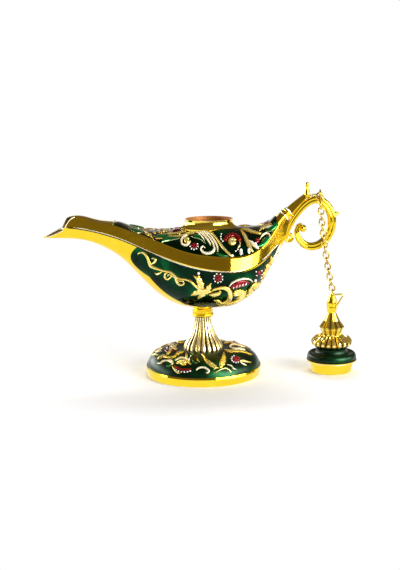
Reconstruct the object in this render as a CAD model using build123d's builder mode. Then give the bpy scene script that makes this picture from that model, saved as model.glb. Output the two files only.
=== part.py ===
from build123d import *
import math
import os

os.makedirs("parts", exist_ok=True)

# Genie oil lamp: gold-plated castings with green enamel, and a lid on a chain.
# Millimetres, +Z up, +X towards the handle, origin on the table under the foot's centre.

# Pedestal
foot_radius = 29.8
foot_base_setback = 0.6
foot_base_radius = foot_radius - foot_base_setback
foot_rim_height = 4.6
foot_rim_width = 0.65
foot_rim_bevel = 0.25
foot_rim_bulge_share = 0.8
foot_wall = 1.8
foot_crown_height = 13.4
FOOT_DOME_SHARES = ((0.56, 0.90), (0.88, 0.52))
stem_top_height = 29.8
stem_top_radius = 4.3
stem_waist_drop = 1.6
stem_waist_height = stem_top_height - stem_waist_drop
stem_waist_radius = 4.2
stem_base_radius = 10.3
stem_seat_height = 12.5
reed_count = 20
reed_radius_share = 0.165
bead_ring_radius = 5.6
bead_ring_height = 2.1
collar_height = 2.9
collar_radius = 5.6
collar_groove_radius = 4.8
collar_ring_radius = 5.3
COLLAR_LEVEL_SHARES = (0.12, 0.22, 0.42, 0.52, 0.66)
keel_height = stem_top_height + bead_ring_height + collar_height

# Flare of the stem between its waist and its seat: shares of the drop and of the spread
STEM_FLARE_SHARES = ((0.225, 0.13), (0.45, 0.325), (0.67, 0.65), (0.85, 0.92))

# Body. Its heights, the neck's and the handle's are above the keel.
spout_reach = 80.0
tail_reach = 44.6
body_half_width = 28.5
body_rise = 50.0
wall = 1.5
lip_wall_share = 0.45
band_proud = 0.4
band_lean = 1.4
band_edge = 0.5
seam_gap = 0.12
enamel_thickness = 0.7
inlay_gap = 0.05
dome_inlay_gap = 0.14
part_gap = 0.05
overrun = 2.0

# Shares of the body along its length: place (of the spout's or the tail's reach),
# half width at the seam, then the heights of keel, seam, band edge and deck crown
# as shares of the body's rise above the keel.
STATION_SHARES = (
    (-1.000, 0.032, 0.736, 0.750, 0.772, 0.776),
    (-0.960, 0.070, 0.732, 0.776, 0.830, 0.840),
    (-0.912, 0.108, 0.730, 0.816, 0.880, 0.895),
    (-0.862, 0.140, 0.728, 0.842, 0.912, 0.932),
    (-0.750, 0.185, 0.710, 0.840, 0.928, 0.952),
    (-0.650, 0.235, 0.658, 0.810, 0.892, 0.908),
    (-0.550, 0.305, 0.570, 0.768, 0.870, 0.888),
    (-0.450, 0.410, 0.428, 0.714, 0.820, 0.840),
    (-0.350, 0.550, 0.256, 0.650, 0.772, 0.798),
    (-0.250, 0.695, 0.116, 0.592, 0.712, 0.790),
    (-0.150, 0.830, 0.036, 0.542, 0.652, 0.802),
    (-0.050, 0.935, 0.004, 0.502, 0.608, 0.834),
    (0.100, 0.990, 0.000, 0.472, 0.584, 0.860),
    (0.270, 1.000, 0.016, 0.454, 0.572, 0.856),
    (0.425, 0.940, 0.064, 0.454, 0.574, 0.820),
    (0.560, 0.820, 0.136, 0.480, 0.600, 0.818),
    (0.670, 0.655, 0.244, 0.534, 0.656, 0.826),
    (0.760, 0.475, 0.376, 0.592, 0.736, 0.860),
    (0.850, 0.290, 0.516, 0.656, 0.852, 0.920),
    (0.920, 0.165, 0.628, 0.714, 0.920, 0.968),
    (1.000, 0.105, 0.740, 0.772, 0.956, 0.992),
)
bowl_fullness = 2.3
dome_fullness = 3.0
BOWL_ANGLES = (-90, -64, -34, 0, 34, 64, 90)
DOME_PLACE_SHARES = (-1.0, -0.72, -0.38, 0.0, 0.38, 0.72, 1.0)

# Which stations each loft of the body runs through
station_count = len(STATION_SHARES)
deck_first = 2
cavity_first = 2
cavity_last = 18
panel_first = 4
inlay_first = 6
inlay_last = 19

# Mouth of the spout and end of the tail
mouth_setback = 9.6
mouth_seam_height = 41.8
mouth_slant = 26.0
tail_foot_x = 41.0
tail_foot_z = 31.7
tail_top_x = 44.4
tail_top_z = 44.2
ferrule_x = 42.05
ferrule_z = 46.25
arm_angle = 42.6

# Enamel panel on each side of the hull, in side view: shares of the reach and of the
# height between keel and seam
PANEL_TOP_SHARES = (
    (-0.40, 0.955), (-0.25, 0.968), (-0.05, 0.972), (0.27, 0.962), (0.56, 0.945), (0.80, 0.92),
)
PANEL_LOW_SHARES = (
    (0.86, 0.46), (0.76, 0.36), (0.56, 0.24), (0.27, 0.13), (-0.05, 0.11), (-0.20, 0.18), (-0.33, 0.33),
)
PANEL_END_SHARE = (-0.44, 0.62)
PANEL_TAIL_SHARE = (0.885, 0.70)

# Neck collar
neck_offset = 3.8
neck_bore_radius = 11.2
neck_lip_radius = 12.2
neck_throat_radius = 12.0
neck_barrel_radius = 12.6
neck_skirt_radius = 14.6
neck_top = 45.4
neck_skirt_top = 41.2
neck_skirt_bottom = 37.0
neck_barrel_bottom = 35.1
neck_lip_height = 0.7
neck_boss_radius = 16.2
neck_boss_top = 39.7

# Pedestal screw
screw_radius = 2.0
screw_head_radius = 3.6
screw_head_height = 2.4
screw_clearance = 0.25
screw_slot_width = 0.9
screw_slot_depth = 1.1
washer_radius = 4.6
washer_thickness = 0.8
boss_radius = 4.4
boss_height = 6.5
screw_engagement = 5.0

# Handle: places of the scroll's bar (x, z) and its radius there
SCROLL_PLACES = (
    (45.2, 36.4, 0.70),
    (46.0, 35.0, 0.85),
    (45.0, 33.5, 0.95),
    (43.3, 33.7, 1.05),
    (42.9, 35.8, 1.15),
    (44.1, 39.6, 1.30),
    (46.3, 43.9, 1.45),
    (49.4, 48.2, 1.60),
    (53.3, 52.2, 1.75),
    (58.0, 54.1, 1.90),
    (62.6, 51.9, 2.00),
    (65.6, 46.8, 2.10),
    (66.0, 40.7, 2.10),
    (63.7, 34.8, 2.05),
    (59.1, 30.9, 2.00),
    (53.8, 30.6, 1.85),
    (49.9, 33.6, 1.60),
    (48.4, 37.6, 1.35),
    (49.2, 40.8, 1.10),
    (51.0, 41.4, 0.90),
)
scroll_top_place = 9
ridge_place_share = 0.40
ridge_radius_share = 0.66
volute_end_radius = 1.0
curl_ball_x = 51.4
curl_ball_z = 39.6
curl_ball_radius = 1.9
thorn_x = 67.3
thorn_z = 46.6
thorn_length = 3.1
thorn_radius = 1.3
thorn_tip_radius = 0.25
thorn_angle = 12.0
ferrule_radius = 3.2
ferrule_small_radius = 2.75
ferrule_groove_radius = 2.45
ferrule_bead = 1.3
ferrule_groove = 0.5
arm_start_radius = 2.2
arm_mid_radius = 1.75
arm_end_radius = 1.15
arm_width_share = 0.8
arm_corner_share = 0.3
arm_mid_x = 48.7
arm_mid_z = 52.5
arm_end_x = 52.9
arm_end_z = 56.2
bud_x = 53.6
bud_z = 56.5
bud_height = 8.0
bud_base_radius = 1.6
bud_neck_radius = 0.75
bud_ball_radius = 1.05

# Eyelet on the handle and the chain
eyelet_x = 59.6
eyelet_y = -3.1
eyelet_z = 55.95
eyelet_radius = 1.7
eyelet_wire_radius = 0.5
eyelet_stub_radius = 0.6
wire_radius = 0.375
ring_wire_radius = 0.4
ring_radius = 2.0
ring_lean = 25.0
chain_gap = 0.05
link_count = 18
link_length = 4.37
link_width = 3.4
lean_top = 4.6
lean_bottom = 13.5
lean_power = 1.4

# Lid ring, a rounded triangle: its second and third corners from the first
lid_ring_reach = 3.7
lid_ring_lift = 0.1
lid_ring_drop = 4.6
lid_ring_shift = 0.7

# Lid, heights above its own base
lid_eye_radius = 1.0
lid_eye_wire_radius = 0.25
lid_eye_height = 34.0
lid_eye_offset = 3.6
lid_eye_turn = 20.0
plug_height = 5.2
plug_foot_radius = 10.2
plug_radius = 11.05
plug_taper_height = 3.6
plug_wall = 1.4
plug_roof = 1.6
lip_radius = 12.9
lip_thickness = 0.9
saucer_foot_radius = 12.1
saucer_radius = 12.6
saucer_rim_height = 7.9
saucer_roll_radius = 11.2
saucer_roll_height = 9.8
saucer_valley_radius = 9.2
saucer_valley_height = 9.3
saucer_waist_radius = 7.9
saucer_waist_height = 11.2
saucer_top_radius = 8.9
saucer_top_height = 13.2
disc_radius = 10.55
disc_rim_height = 15.6
disc_under_radius = 9.1
disc_shoulder_radius = 9.0
disc_shoulder_height = 17.7
disc_top_radius = 6.4
disc_top_height = 18.7
disc_flute_count = 22
disc_flute_radius = 1.1
disc_flute_depth = 0.55
bowl_foot_radius = 4.9
bowl_foot_height = 0.9
bowl_radius = 6.1
bell_base_height = 22.5
bell_radius = 6.45
bell_edge_height = 23.2
bell_middle_height = 26.4
bell_middle_radius = 4.1
bell_top_height = 30.4
bell_top_radius = 2.2
bell_sides = 20
crown_radius = 2.75
crown_height = 33.2
crown_edge = 0.45
bud_sides = 8
lid_bud_radius = 2.75
lid_bud_wide_height = 35.6
lid_bud_shoulder_height = 38.6
lid_bud_shoulder_radius = 1.7
lid_bud_tip_radius = 0.25
lid_height = 41.4
lid_screw_radius = 1.5
lid_screw_head_radius = 3.0
lid_screw_head_height = 1.8
lid_screw_reach = 5.0


def finish(piece, name):
    """Label a finished piece and write it to its own file."""
    piece.label = name
    export_step(piece, "parts/" + name + ".step")


def station(index):
    """Length, half width and the four heights of one station of the body."""
    place, half, keel, seam, band, crown = STATION_SHARES[index]
    reach = spout_reach if place < 0 else tail_reach
    heights = [keel_height + share * body_rise for share in (keel, seam, band, crown)]
    return (place * reach, half * body_half_width, *heights)


def cross_plane(x):
    """Plane across the body at a length: its x is the lamp's +Y and its y is +Z."""
    return Plane(origin=(x, 0, 0), x_dir=(0, 1, 0), z_dir=(1, 0, 0))


def bowl_point(angle, half, depth):
    """Point of a super-ellipse, from its lowest point at 0 degrees to a side at 90."""
    across = math.copysign(abs(math.sin(math.radians(angle))) ** (2 / bowl_fullness), angle)
    down = abs(math.cos(math.radians(angle))) ** (2 / bowl_fullness)
    return (half * across, -depth * down)


def bowl_section(index, inset=0.0, lift=0.0):
    """Section of the hull, drawn in by a wall and carried up past the seam by a lift."""
    x, half, keel, seam, band, crown = station(index)
    depth = seam - keel - min(inset, lip_wall_share * (seam - keel))
    half -= min(inset, lip_wall_share * half)
    points = [bowl_point(angle, half, depth) for angle in BOWL_ANGLES]
    with BuildSketch(cross_plane(x)) as section:
        with BuildLine():
            Spline([(y, seam + z) for y, z in points], tangents=[(0, -1), (0, 1)])
            if lift:
                Polyline((half, seam), (half, seam + lift), (-half, seam + lift), (-half, seam))
            else:
                Line((half, seam), (-half, seam))
        make_face()
    return section.sketch


def dome_points(half, low, high):
    """Points of the deck's dome from one band edge to the other."""
    return [
        (place * half, low + (high - low) * (1 - abs(place) ** dome_fullness))
        for place in DOME_PLACE_SHARES
    ]


def band_reach(half):
    """Half width of the deck at its band's upper edge, which leans in."""
    return half - band_lean * half / (body_half_width + band_proud)


def deck_section(index, inset=0.0, drop=0.0):
    """Section of the deck: a leaning band on each side and the dome between them."""
    x, half, keel, seam, band, crown = station(index)
    half += band_proud
    side = min(inset, lip_wall_share * half)
    top = min(inset + drop, lip_wall_share * (band - seam))
    base = seam - overrun if inset else seam + seam_gap
    upper = band_reach(half) - side
    with BuildSketch(cross_plane(x)) as section:
        with BuildLine():
            Spline(dome_points(upper, band - top, crown - top))
            Polyline((upper, band - top), (half - side, base), (side - half, base), (-upper, band - top))
        make_face()
    return section.sketch


def inlay_section(index, edge, low, high):
    """Slice of the dome between two levels, for the deck's enamel and for its pocket."""
    x, half, keel, seam, band, crown = station(index)
    reach = band_reach(half + band_proud)
    inner = reach - min(edge, lip_wall_share * reach)
    points = dome_points(inner, band, crown)
    with BuildSketch(cross_plane(x)) as section:
        with BuildLine():
            Spline([(y, z + low) for y, z in points])
            Line((inner, band + low), (inner, band + high))
            Spline([(-y, z + high) for y, z in points])
            Line((-inner, band + high), (-inner, band + low))
        make_face()
    return section.sketch


def lofted(sections):
    """Smooth solid through a row of sections."""
    with BuildPart() as solid:
        for section in sections:
            add(section)
        loft()
    return solid.part


def slanted(x, z, direction_x, direction_z):
    """Plane across the lamp at a point of its middle plane, facing a direction."""
    return Plane(origin=(x, 0, z), x_dir=(0, 1, 0), z_dir=(direction_x, 0, direction_z))


def past(plane):
    """Block that fills everything beyond a plane, as large as the body."""
    with BuildPart() as block:
        with BuildSketch(plane):
            Rectangle(body_half_width * 2, spout_reach)
        extrude(amount=spout_reach)
    return block.part


def turned(*points):
    """Solid of revolution round Z from the corners of its profile."""
    with BuildPart() as piece:
        with BuildSketch(Plane.XZ):
            with BuildLine():
                Polyline(*points, close=True)
            make_face()
        revolve(axis=Axis.Z)
    return piece.part


def cut_round(x, low, high, radius):
    """Round bar along Z, for bores."""
    with BuildPart() as bar:
        with BuildSketch(Plane(origin=(x, 0, low))):
            Circle(radius)
        extrude(amount=high - low)
    return bar.part


# Forms that the body's castings and enamel are cut from
stations = range(station_count)
hull_form = lofted(bowl_section(index) for index in stations)
hull_cavity = lofted(
    bowl_section(index, wall, overrun) for index in range(cavity_first, cavity_last)
)
panel_back = lofted(
    bowl_section(index, enamel_thickness) for index in range(panel_first, station_count)
)
enamel_face = lofted(bowl_section(index, inlay_gap) for index in range(panel_first, station_count))
enamel_back = lofted(
    bowl_section(index, enamel_thickness - inlay_gap) for index in range(panel_first, station_count)
)
deck_form = lofted(deck_section(index) for index in range(deck_first, station_count))
deck_cavity = lofted(
    deck_section(index, wall, enamel_thickness) for index in range(deck_first, cavity_last)
)
inlay_pocket = lofted(
    inlay_section(index, band_edge, -enamel_thickness, overrun)
    for index in range(inlay_first, inlay_last)
)
inlay_form = lofted(
    inlay_section(index, band_edge, dome_inlay_gap - enamel_thickness, -inlay_gap)
    for index in range(inlay_first, inlay_last)
)
inlay_bounds = lofted(
    inlay_section(index, band_edge + inlay_gap, -overrun, overrun)
    for index in range(inlay_first, inlay_last)
)

# Faces that end the body: the spout's slanted mouth, the tail and the ferrule's seat
arm_direction = (math.cos(math.radians(arm_angle)), math.sin(math.radians(arm_angle)))
arm_plane = slanted(ferrule_x, keel_height + ferrule_z, *arm_direction)
tail_plane = slanted(
    tail_foot_x, keel_height + tail_foot_z, tail_top_z - tail_foot_z, tail_foot_x - tail_top_x
)
mouth_plane = slanted(
    mouth_setback - spout_reach,
    keel_height + mouth_seam_height,
    -math.cos(math.radians(mouth_slant)),
    math.sin(math.radians(mouth_slant)),
)


def panel_point(along, share):
    """Point of a hull panel's outline in side view, from shares of reach and of depth."""
    x = along * (spout_reach if along < 0 else tail_reach)
    rows = [station(index) for index in stations]
    left = max(row for row in rows if row[0] <= x)
    right = min(row for row in rows if row[0] > x)
    part = (x - left[0]) / (right[0] - left[0])
    keel = left[2] + (right[2] - left[2]) * part
    seam = left[3] + (right[3] - left[3]) * part
    return (x, keel + (seam - keel) * share)


# The hull panel's outline carried out of the front, and the pockets that it leaves
panel_top = [panel_point(*row) for row in PANEL_TOP_SHARES]
panel_low = [panel_point(*row) for row in PANEL_LOW_SHARES]
with BuildPart() as panel_block:
    with BuildSketch(Plane.XZ):
        with BuildLine():
            Spline(*panel_top)
            Spline(panel_top[-1], panel_point(*PANEL_TAIL_SHARE), panel_low[0])
            Spline(*panel_low)
            Spline(panel_low[-1], panel_point(*PANEL_END_SHARE), panel_top[0])
        make_face()
    extrude(amount=body_half_width + overrun)
panel_pocket = panel_block.part - panel_back
back_pocket = mirror(panel_pocket, about=Plane.XZ)

# Hull casting: bowl and lower half of the spout, with a threaded boss over the foot
with BuildPart() as hull_shell:
    add(hull_form)
    add(hull_cavity, mode=Mode.SUBTRACT)
    add(cut_round(0, keel_height + wall / 2, keel_height + wall / 2 + boss_height, boss_radius))
    add(
        cut_round(
            0,
            keel_height - overrun,
            keel_height + screw_engagement + part_gap,
            screw_radius + part_gap,
        ),
        mode=Mode.SUBTRACT,
    )
    add(panel_pocket, mode=Mode.SUBTRACT)
    add(back_pocket, mode=Mode.SUBTRACT)
    add(past(tail_plane), mode=Mode.SUBTRACT)
    add(past(arm_plane), mode=Mode.SUBTRACT)
finish(hull_shell.part, "hull_shell")

# Green enamel in the hull's two side panels
with BuildPart() as hull_enamel:
    add(panel_block.part)
    add(enamel_face, mode=Mode.INTERSECT)
    add(enamel_back, mode=Mode.SUBTRACT)
finish(hull_enamel.part, "hull_enamel_front")
finish(mirror(hull_enamel.part, about=Plane.XZ), "hull_enamel_back")

# Deck casting: gold band, upper half of the spout and the dome that carries the enamel
neck_foot = keel_height + neck_barrel_bottom
neck_seat = keel_height + neck_skirt_bottom
neck_rim = keel_height + neck_top
with BuildPart() as deck_shell:
    add(deck_form)
    add(deck_cavity, mode=Mode.SUBTRACT)
    add(cut_round(neck_offset, neck_foot, keel_height + neck_boss_top, neck_boss_radius))
    add(inlay_pocket, mode=Mode.SUBTRACT)
    add(
        cut_round(neck_offset, neck_foot, neck_rim, neck_barrel_radius + part_gap),
        mode=Mode.SUBTRACT,
    )
    add(
        cut_round(neck_offset, neck_seat, neck_rim, neck_skirt_radius + part_gap),
        mode=Mode.SUBTRACT,
    )
    add(past(mouth_plane), mode=Mode.SUBTRACT)
    add(past(tail_plane), mode=Mode.SUBTRACT)
    add(past(arm_plane), mode=Mode.SUBTRACT)
finish(deck_shell.part, "deck_shell")

# Green enamel of the deck, round the neck
with BuildPart() as deck_enamel:
    add(inlay_form)
    add(inlay_bounds, mode=Mode.INTERSECT)
    add(
        cut_round(neck_offset, neck_foot, neck_rim, neck_skirt_radius + part_gap),
        mode=Mode.SUBTRACT,
    )
    add(past(tail_plane), mode=Mode.SUBTRACT)
    add(past(arm_plane), mode=Mode.SUBTRACT)
finish(deck_enamel.part, "deck_enamel")

# Neck collar, which seats in the deck and holds the lid's plug: a barrel under a flared skirt
lip_foot = neck_top - neck_lip_height
with BuildPart() as neck_collar:
    with BuildSketch(Plane.XZ):
        with BuildLine():
            Polyline(
                (neck_throat_radius, lip_foot),
                (neck_lip_radius, lip_foot),
                (neck_lip_radius, neck_top),
                (neck_bore_radius, neck_top),
                (neck_bore_radius, neck_barrel_bottom),
                (neck_barrel_radius, neck_barrel_bottom),
                (neck_barrel_radius, neck_skirt_bottom),
                (neck_skirt_radius, neck_skirt_bottom),
                (neck_skirt_radius, neck_skirt_top),
            )
            Spline(
                (neck_skirt_radius, neck_skirt_top),
                (neck_throat_radius, lip_foot),
                tangents=[(-1, 0.4), (0, 1)],
            )
        make_face()
    revolve(axis=Axis.Z)
finish(neck_collar.part.moved(Location((neck_offset, 0, keel_height))), "neck_collar")

# Pedestal collar, shaped to the hull, and the bead ring under it
screw_hole_radius = screw_radius + screw_clearance
bead_ring_top = stem_top_height + bead_ring_height
collar_levels = [bead_ring_top + share * collar_height for share in COLLAR_LEVEL_SHARES]
collar_corners = [(collar_groove_radius, bead_ring_top)]
for level, radius in zip(
    collar_levels,
    (
        collar_groove_radius,
        collar_ring_radius,
        collar_ring_radius,
        collar_groove_radius,
        collar_groove_radius,
    ),
):
    collar_corners.append((radius, level))
with BuildPart() as pedestal_collar:
    add(
        turned(
            (screw_hole_radius, bead_ring_top),
            *collar_corners,
            (collar_radius, keel_height),
            (collar_radius, keel_height + bead_ring_height),
            (screw_hole_radius, keel_height + bead_ring_height),
        )
    )
    add(hull_form, mode=Mode.SUBTRACT)
finish(pedestal_collar.part, "pedestal_collar")

bead_radius = bead_ring_height / 2
with BuildPart() as bead_ring:
    with BuildSketch(Plane.XZ):
        with BuildLine():
            ring_in = bead_ring_radius - bead_radius
            Polyline(
                (ring_in, stem_top_height),
                (screw_hole_radius, stem_top_height),
                (screw_hole_radius, bead_ring_top),
                (ring_in, bead_ring_top),
            )
            ThreePointArc(
                (ring_in, bead_ring_top),
                (bead_ring_radius, stem_top_height + bead_radius),
                (ring_in, stem_top_height),
            )
        make_face()
    revolve(axis=Axis.Z)
finish(bead_ring.part, "bead_ring")

# Reeded stem: round lobes that touch, one section a level
stem_drop = stem_waist_height - stem_seat_height
stem_spread = stem_base_radius - stem_waist_radius
stem_levels = [(stem_top_height, stem_top_radius), (stem_waist_height, stem_waist_radius)]
for drop, spread in STEM_FLARE_SHARES:
    stem_levels.append(
        (stem_waist_height - drop * stem_drop, stem_waist_radius + spread * stem_spread)
    )
stem_levels.append((stem_seat_height, stem_base_radius))


def reed_section(height, radius):
    """Ring of round lobes, one for each reed."""
    lobe = radius * reed_radius_share
    with BuildSketch(Plane.XY.offset(height)) as section:
        Circle(radius - lobe)
        with PolarLocations(radius - lobe, reed_count):
            Circle(lobe)
    return section.sketch


with BuildPart() as fluted_stem:
    add(lofted(reed_section(height, radius) for height, radius in stem_levels))
    add(cut_round(0, stem_seat_height, stem_top_height, screw_hole_radius), mode=Mode.SUBTRACT)
finish(fluted_stem.part, "fluted_stem")

# Foot casting: gold rim, dome that carries the enamel and a hollow underside
foot_seat_radius = stem_base_radius + part_gap
foot_inlay_radius = foot_radius - foot_rim_width
foot_under_radius = foot_base_radius - foot_wall
foot_plate_height = stem_seat_height - foot_wall


def foot_dome(drop):
    """Points of the foot's dome from the stem to the rim, lowered by a drop."""
    run = foot_inlay_radius - foot_seat_radius
    rise = foot_crown_height - foot_rim_height
    points = [(foot_seat_radius, foot_crown_height - drop)]
    for place, share in FOOT_DOME_SHARES:
        points.append((foot_seat_radius + run * place, foot_rim_height + rise * share - drop))
    return points + [(foot_inlay_radius, foot_rim_height - drop)]


foot_seat = foot_dome(enamel_thickness)
foot_under = foot_dome(enamel_thickness + foot_wall)
with BuildPart() as foot:
    with BuildSketch(Plane.XZ):
        with BuildLine():
            Polyline(
                (foot_under_radius, 0),
                (foot_base_radius, 0),
                (foot_radius, foot_rim_height * foot_rim_bulge_share),
                (foot_radius - foot_rim_bevel, foot_rim_height),
                (foot_inlay_radius, foot_rim_height),
                foot_seat[-1],
            )
            Spline(foot_seat[::-1])
            Polyline(
                foot_seat[0],
                (foot_seat_radius, stem_seat_height),
                (screw_hole_radius, stem_seat_height),
                (screw_hole_radius, foot_plate_height),
                (washer_radius + foot_wall, foot_plate_height),
            )
            Spline(
                (washer_radius + foot_wall, foot_plate_height),
                foot_under[1],
                (foot_under_radius, foot_rim_height / 2),
            )
            Line((foot_under_radius, foot_rim_height / 2), (foot_under_radius, 0))
        make_face()
    revolve(axis=Axis.Z)
finish(foot.part, "foot")

with BuildPart() as foot_enamel:
    with BuildSketch(Plane.XZ):
        with BuildLine():
            top = foot_dome(0)
            base = foot_dome(enamel_thickness - dome_inlay_gap)
            Spline(top)
            Line(top[-1], base[-1])
            Spline(base[::-1])
            Line(base[0], top[0])
        make_face()
    revolve(axis=Axis.Z)
    add(
        cut_round(0, 0, foot_crown_height + overrun, foot_inlay_radius - inlay_gap),
        mode=Mode.INTERSECT,
    )
    add(
        cut_round(0, 0, foot_crown_height + overrun, foot_seat_radius + inlay_gap),
        mode=Mode.SUBTRACT,
    )
finish(foot_enamel.part, "foot_enamel")

# Screw, from inside the foot up into the hull's boss, and its washer
screw_seat = foot_plate_height - washer_thickness
with BuildPart() as pedestal_washer:
    with BuildSketch(Plane.XY.offset(screw_seat)):
        Circle(washer_radius)
        Circle(screw_hole_radius, mode=Mode.SUBTRACT)
    extrude(amount=washer_thickness)
finish(pedestal_washer.part, "pedestal_washer")


def slotted_screw(seat, top, radius, head_radius, head_height):
    """Screw that points up, with a slot across the underside of its head."""
    with BuildPart() as screw:
        add(cut_round(0, seat - head_height, seat, head_radius))
        add(cut_round(0, seat, top, radius))
        with BuildSketch(Plane.XY.offset(seat - head_height)):
            Rectangle(head_radius * 2, screw_slot_width)
        extrude(amount=screw_slot_depth, mode=Mode.SUBTRACT)
    return screw.part


pedestal_screw = slotted_screw(
    screw_seat, keel_height + screw_engagement, screw_radius, screw_head_radius, screw_head_height
)
finish(pedestal_screw, "pedestal_screw")

# Handle scroll: one tapering bar from the lower volute, over the top and round to the curl
scroll = [Vector(x, 0, keel_height + z) for x, z, radius in SCROLL_PLACES]
with BuildPart() as handle_scroll:
    for index, (x, z, radius) in enumerate(SCROLL_PLACES):
        before = scroll[max(index - 1, 0)]
        after = scroll[min(index + 1, len(scroll) - 1)]
        with BuildSketch(Plane(origin=scroll[index], x_dir=(0, 1, 0), z_dir=after - before)):
            with Locations((0, radius * ridge_place_share), (0, -radius * ridge_place_share)):
                Circle(radius * ridge_radius_share)
    loft()
    with Locations((curl_ball_x, 0, keel_height + curl_ball_z)):
        Sphere(curl_ball_radius)
    with Locations(scroll[0]):
        Sphere(volute_end_radius)
    thorn = slanted(
        thorn_x,
        keel_height + thorn_z,
        math.cos(math.radians(thorn_angle)),
        math.sin(math.radians(thorn_angle)),
    )
    with BuildSketch(thorn):
        Circle(thorn_radius)
    with BuildSketch(thorn.offset(thorn_length)):
        Circle(thorn_tip_radius)
    loft()
    add(hull_shell.part, mode=Mode.SUBTRACT)
    add(deck_shell.part, mode=Mode.SUBTRACT)
finish(handle_scroll.part, "handle_scroll")

# Ferrule of two beads, on the tail's cut face
ferrule_step = ferrule_bead + ferrule_groove
ferrule_length = ferrule_step + ferrule_bead
with BuildPart() as handle_ferrule:
    with BuildSketch(Plane.XZ):
        with BuildLine():
            Line((0, 0), (ferrule_groove_radius, 0))
            ThreePointArc(
                (ferrule_groove_radius, 0),
                (ferrule_radius, ferrule_bead / 2),
                (ferrule_groove_radius, ferrule_bead),
            )
            Line((ferrule_groove_radius, ferrule_bead), (ferrule_groove_radius, ferrule_step))
            ThreePointArc(
                (ferrule_groove_radius, ferrule_step),
                (ferrule_small_radius, ferrule_length - ferrule_bead / 2),
                (ferrule_groove_radius, ferrule_length),
            )
            Polyline((ferrule_groove_radius, ferrule_length), (0, ferrule_length), (0, 0))
        make_face()
    revolve(axis=Axis.Z)
ferrule_piece = handle_ferrule.part.moved(arm_plane.location) - handle_scroll.part
finish(ferrule_piece, "handle_ferrule")

# Arm from the ferrule to the top of the scroll
arm_start = arm_plane.offset(ferrule_length)
arm_middle = Vector(arm_mid_x, 0, keel_height + arm_mid_z)
arm_tip = Vector(arm_end_x, 0, keel_height + arm_end_z)
arm_sections = (
    (arm_start, arm_start_radius),
    (Plane(origin=arm_middle, x_dir=(0, 1, 0), z_dir=arm_tip - arm_start.origin), arm_mid_radius),
    (Plane(origin=arm_tip, x_dir=(0, 1, 0), z_dir=arm_tip - arm_middle), arm_end_radius),
)
with BuildPart() as handle_arm:
    for plane, radius in arm_sections:
        with BuildSketch(plane):
            RectangleRounded(2 * radius * arm_width_share, 2 * radius, radius * arm_corner_share)
    loft()
    add(handle_scroll.part, mode=Mode.SUBTRACT)
finish(handle_arm.part, "handle_arm")

# Bud on the arm's tip: a ball, a drawn-in neck and a smaller ball
ball_height = bud_height - bud_base_radius - bud_ball_radius
diagonal = math.sqrt(0.5)
with BuildPart() as handle_bud:
    with BuildSketch(Plane.XZ):
        with BuildLine():
            ThreePointArc(
                (0, -bud_base_radius),
                (bud_base_radius * diagonal, -bud_base_radius * diagonal),
                (bud_base_radius, 0),
            )
            Spline(
                (bud_base_radius, 0),
                (bud_neck_radius, ball_height - bud_ball_radius),
                tangents=[(0, 1), (0, 1)],
            )
            Line((bud_neck_radius, ball_height - bud_ball_radius), (bud_ball_radius, ball_height))
            ThreePointArc(
                (bud_ball_radius, ball_height),
                (bud_ball_radius * diagonal, ball_height + bud_ball_radius * diagonal),
                (0, ball_height + bud_ball_radius),
            )
            Line((0, ball_height + bud_ball_radius), (0, -bud_base_radius))
        make_face()
    revolve(axis=Axis.Z)
bud_piece = handle_bud.part.moved(Location((bud_x, 0, keel_height + bud_z))) - handle_arm.part
finish(bud_piece - handle_scroll.part, "handle_bud")


def ring_of(radius, wire, plane):
    """Closed round ring of wire that lies in a plane."""
    with BuildPart() as ring:
        with BuildSketch(Plane.XZ):
            with Locations((radius, 0)):
                Circle(wire)
        revolve(axis=Axis.Z)
    return ring.part.moved(plane.location)


def link_of(length, width, wire):
    """Oval link with its long way along Z and its flat face across Y, centred."""
    bend = width / 2 - wire
    half = length / 2 - wire - bend
    with BuildPart() as link:
        with BuildSketch(Plane.XY.offset(-half)):
            with Locations((bend, 0), (-bend, 0)):
                Circle(wire)
        extrude(amount=2 * half)
        for end, turn in ((half, 1), (-half, -1)):
            with BuildSketch(Plane.XY.offset(end)):
                with Locations((bend, 0)):
                    Circle(wire)
            revolve(axis=Axis((0, 0, end), (0, turn, 0)), revolution_arc=-180)
    return link.part


# Eyelet for the chain, on a short stub at the front of the scroll's top
eyelet_level = keel_height + eyelet_z
eyelet_plane = Plane(origin=(eyelet_x, eyelet_y, eyelet_level), x_dir=(1, 0, 0), z_dir=(0, -1, 0))
stub_root = Vector(eyelet_x, 0, scroll[scroll_top_place].Z)
stub_end = Vector(
    eyelet_x,
    eyelet_y,
    eyelet_level - eyelet_radius + eyelet_wire_radius - eyelet_stub_radius,
)
with BuildPart() as chain_eyelet:
    add(ring_of(eyelet_radius, eyelet_wire_radius, eyelet_plane))
    with BuildSketch(Plane(origin=stub_root, x_dir=(1, 0, 0), z_dir=stub_end - stub_root)):
        Circle(eyelet_stub_radius)
    extrude(amount=(stub_end - stub_root).length)
    add(handle_scroll.part, mode=Mode.SUBTRACT)
finish(chain_eyelet.part, "chain_eyelet")

# Chain: a ring through the eyelet, then links turned a quarter to each other
hook = ring_radius - eyelet_wire_radius - ring_wire_radius - chain_gap
ring_centre = Vector(
    eyelet_x,
    eyelet_y - hook * math.cos(math.radians(ring_lean)),
    eyelet_level + eyelet_radius - hook * math.sin(math.radians(ring_lean)),
)
ring_plane = Plane(origin=ring_centre, x_dir=(0, 1, 0), z_dir=(1, 0, 0))
finish(ring_of(ring_radius, ring_wire_radius, ring_plane), "chain_top_ring")

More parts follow.
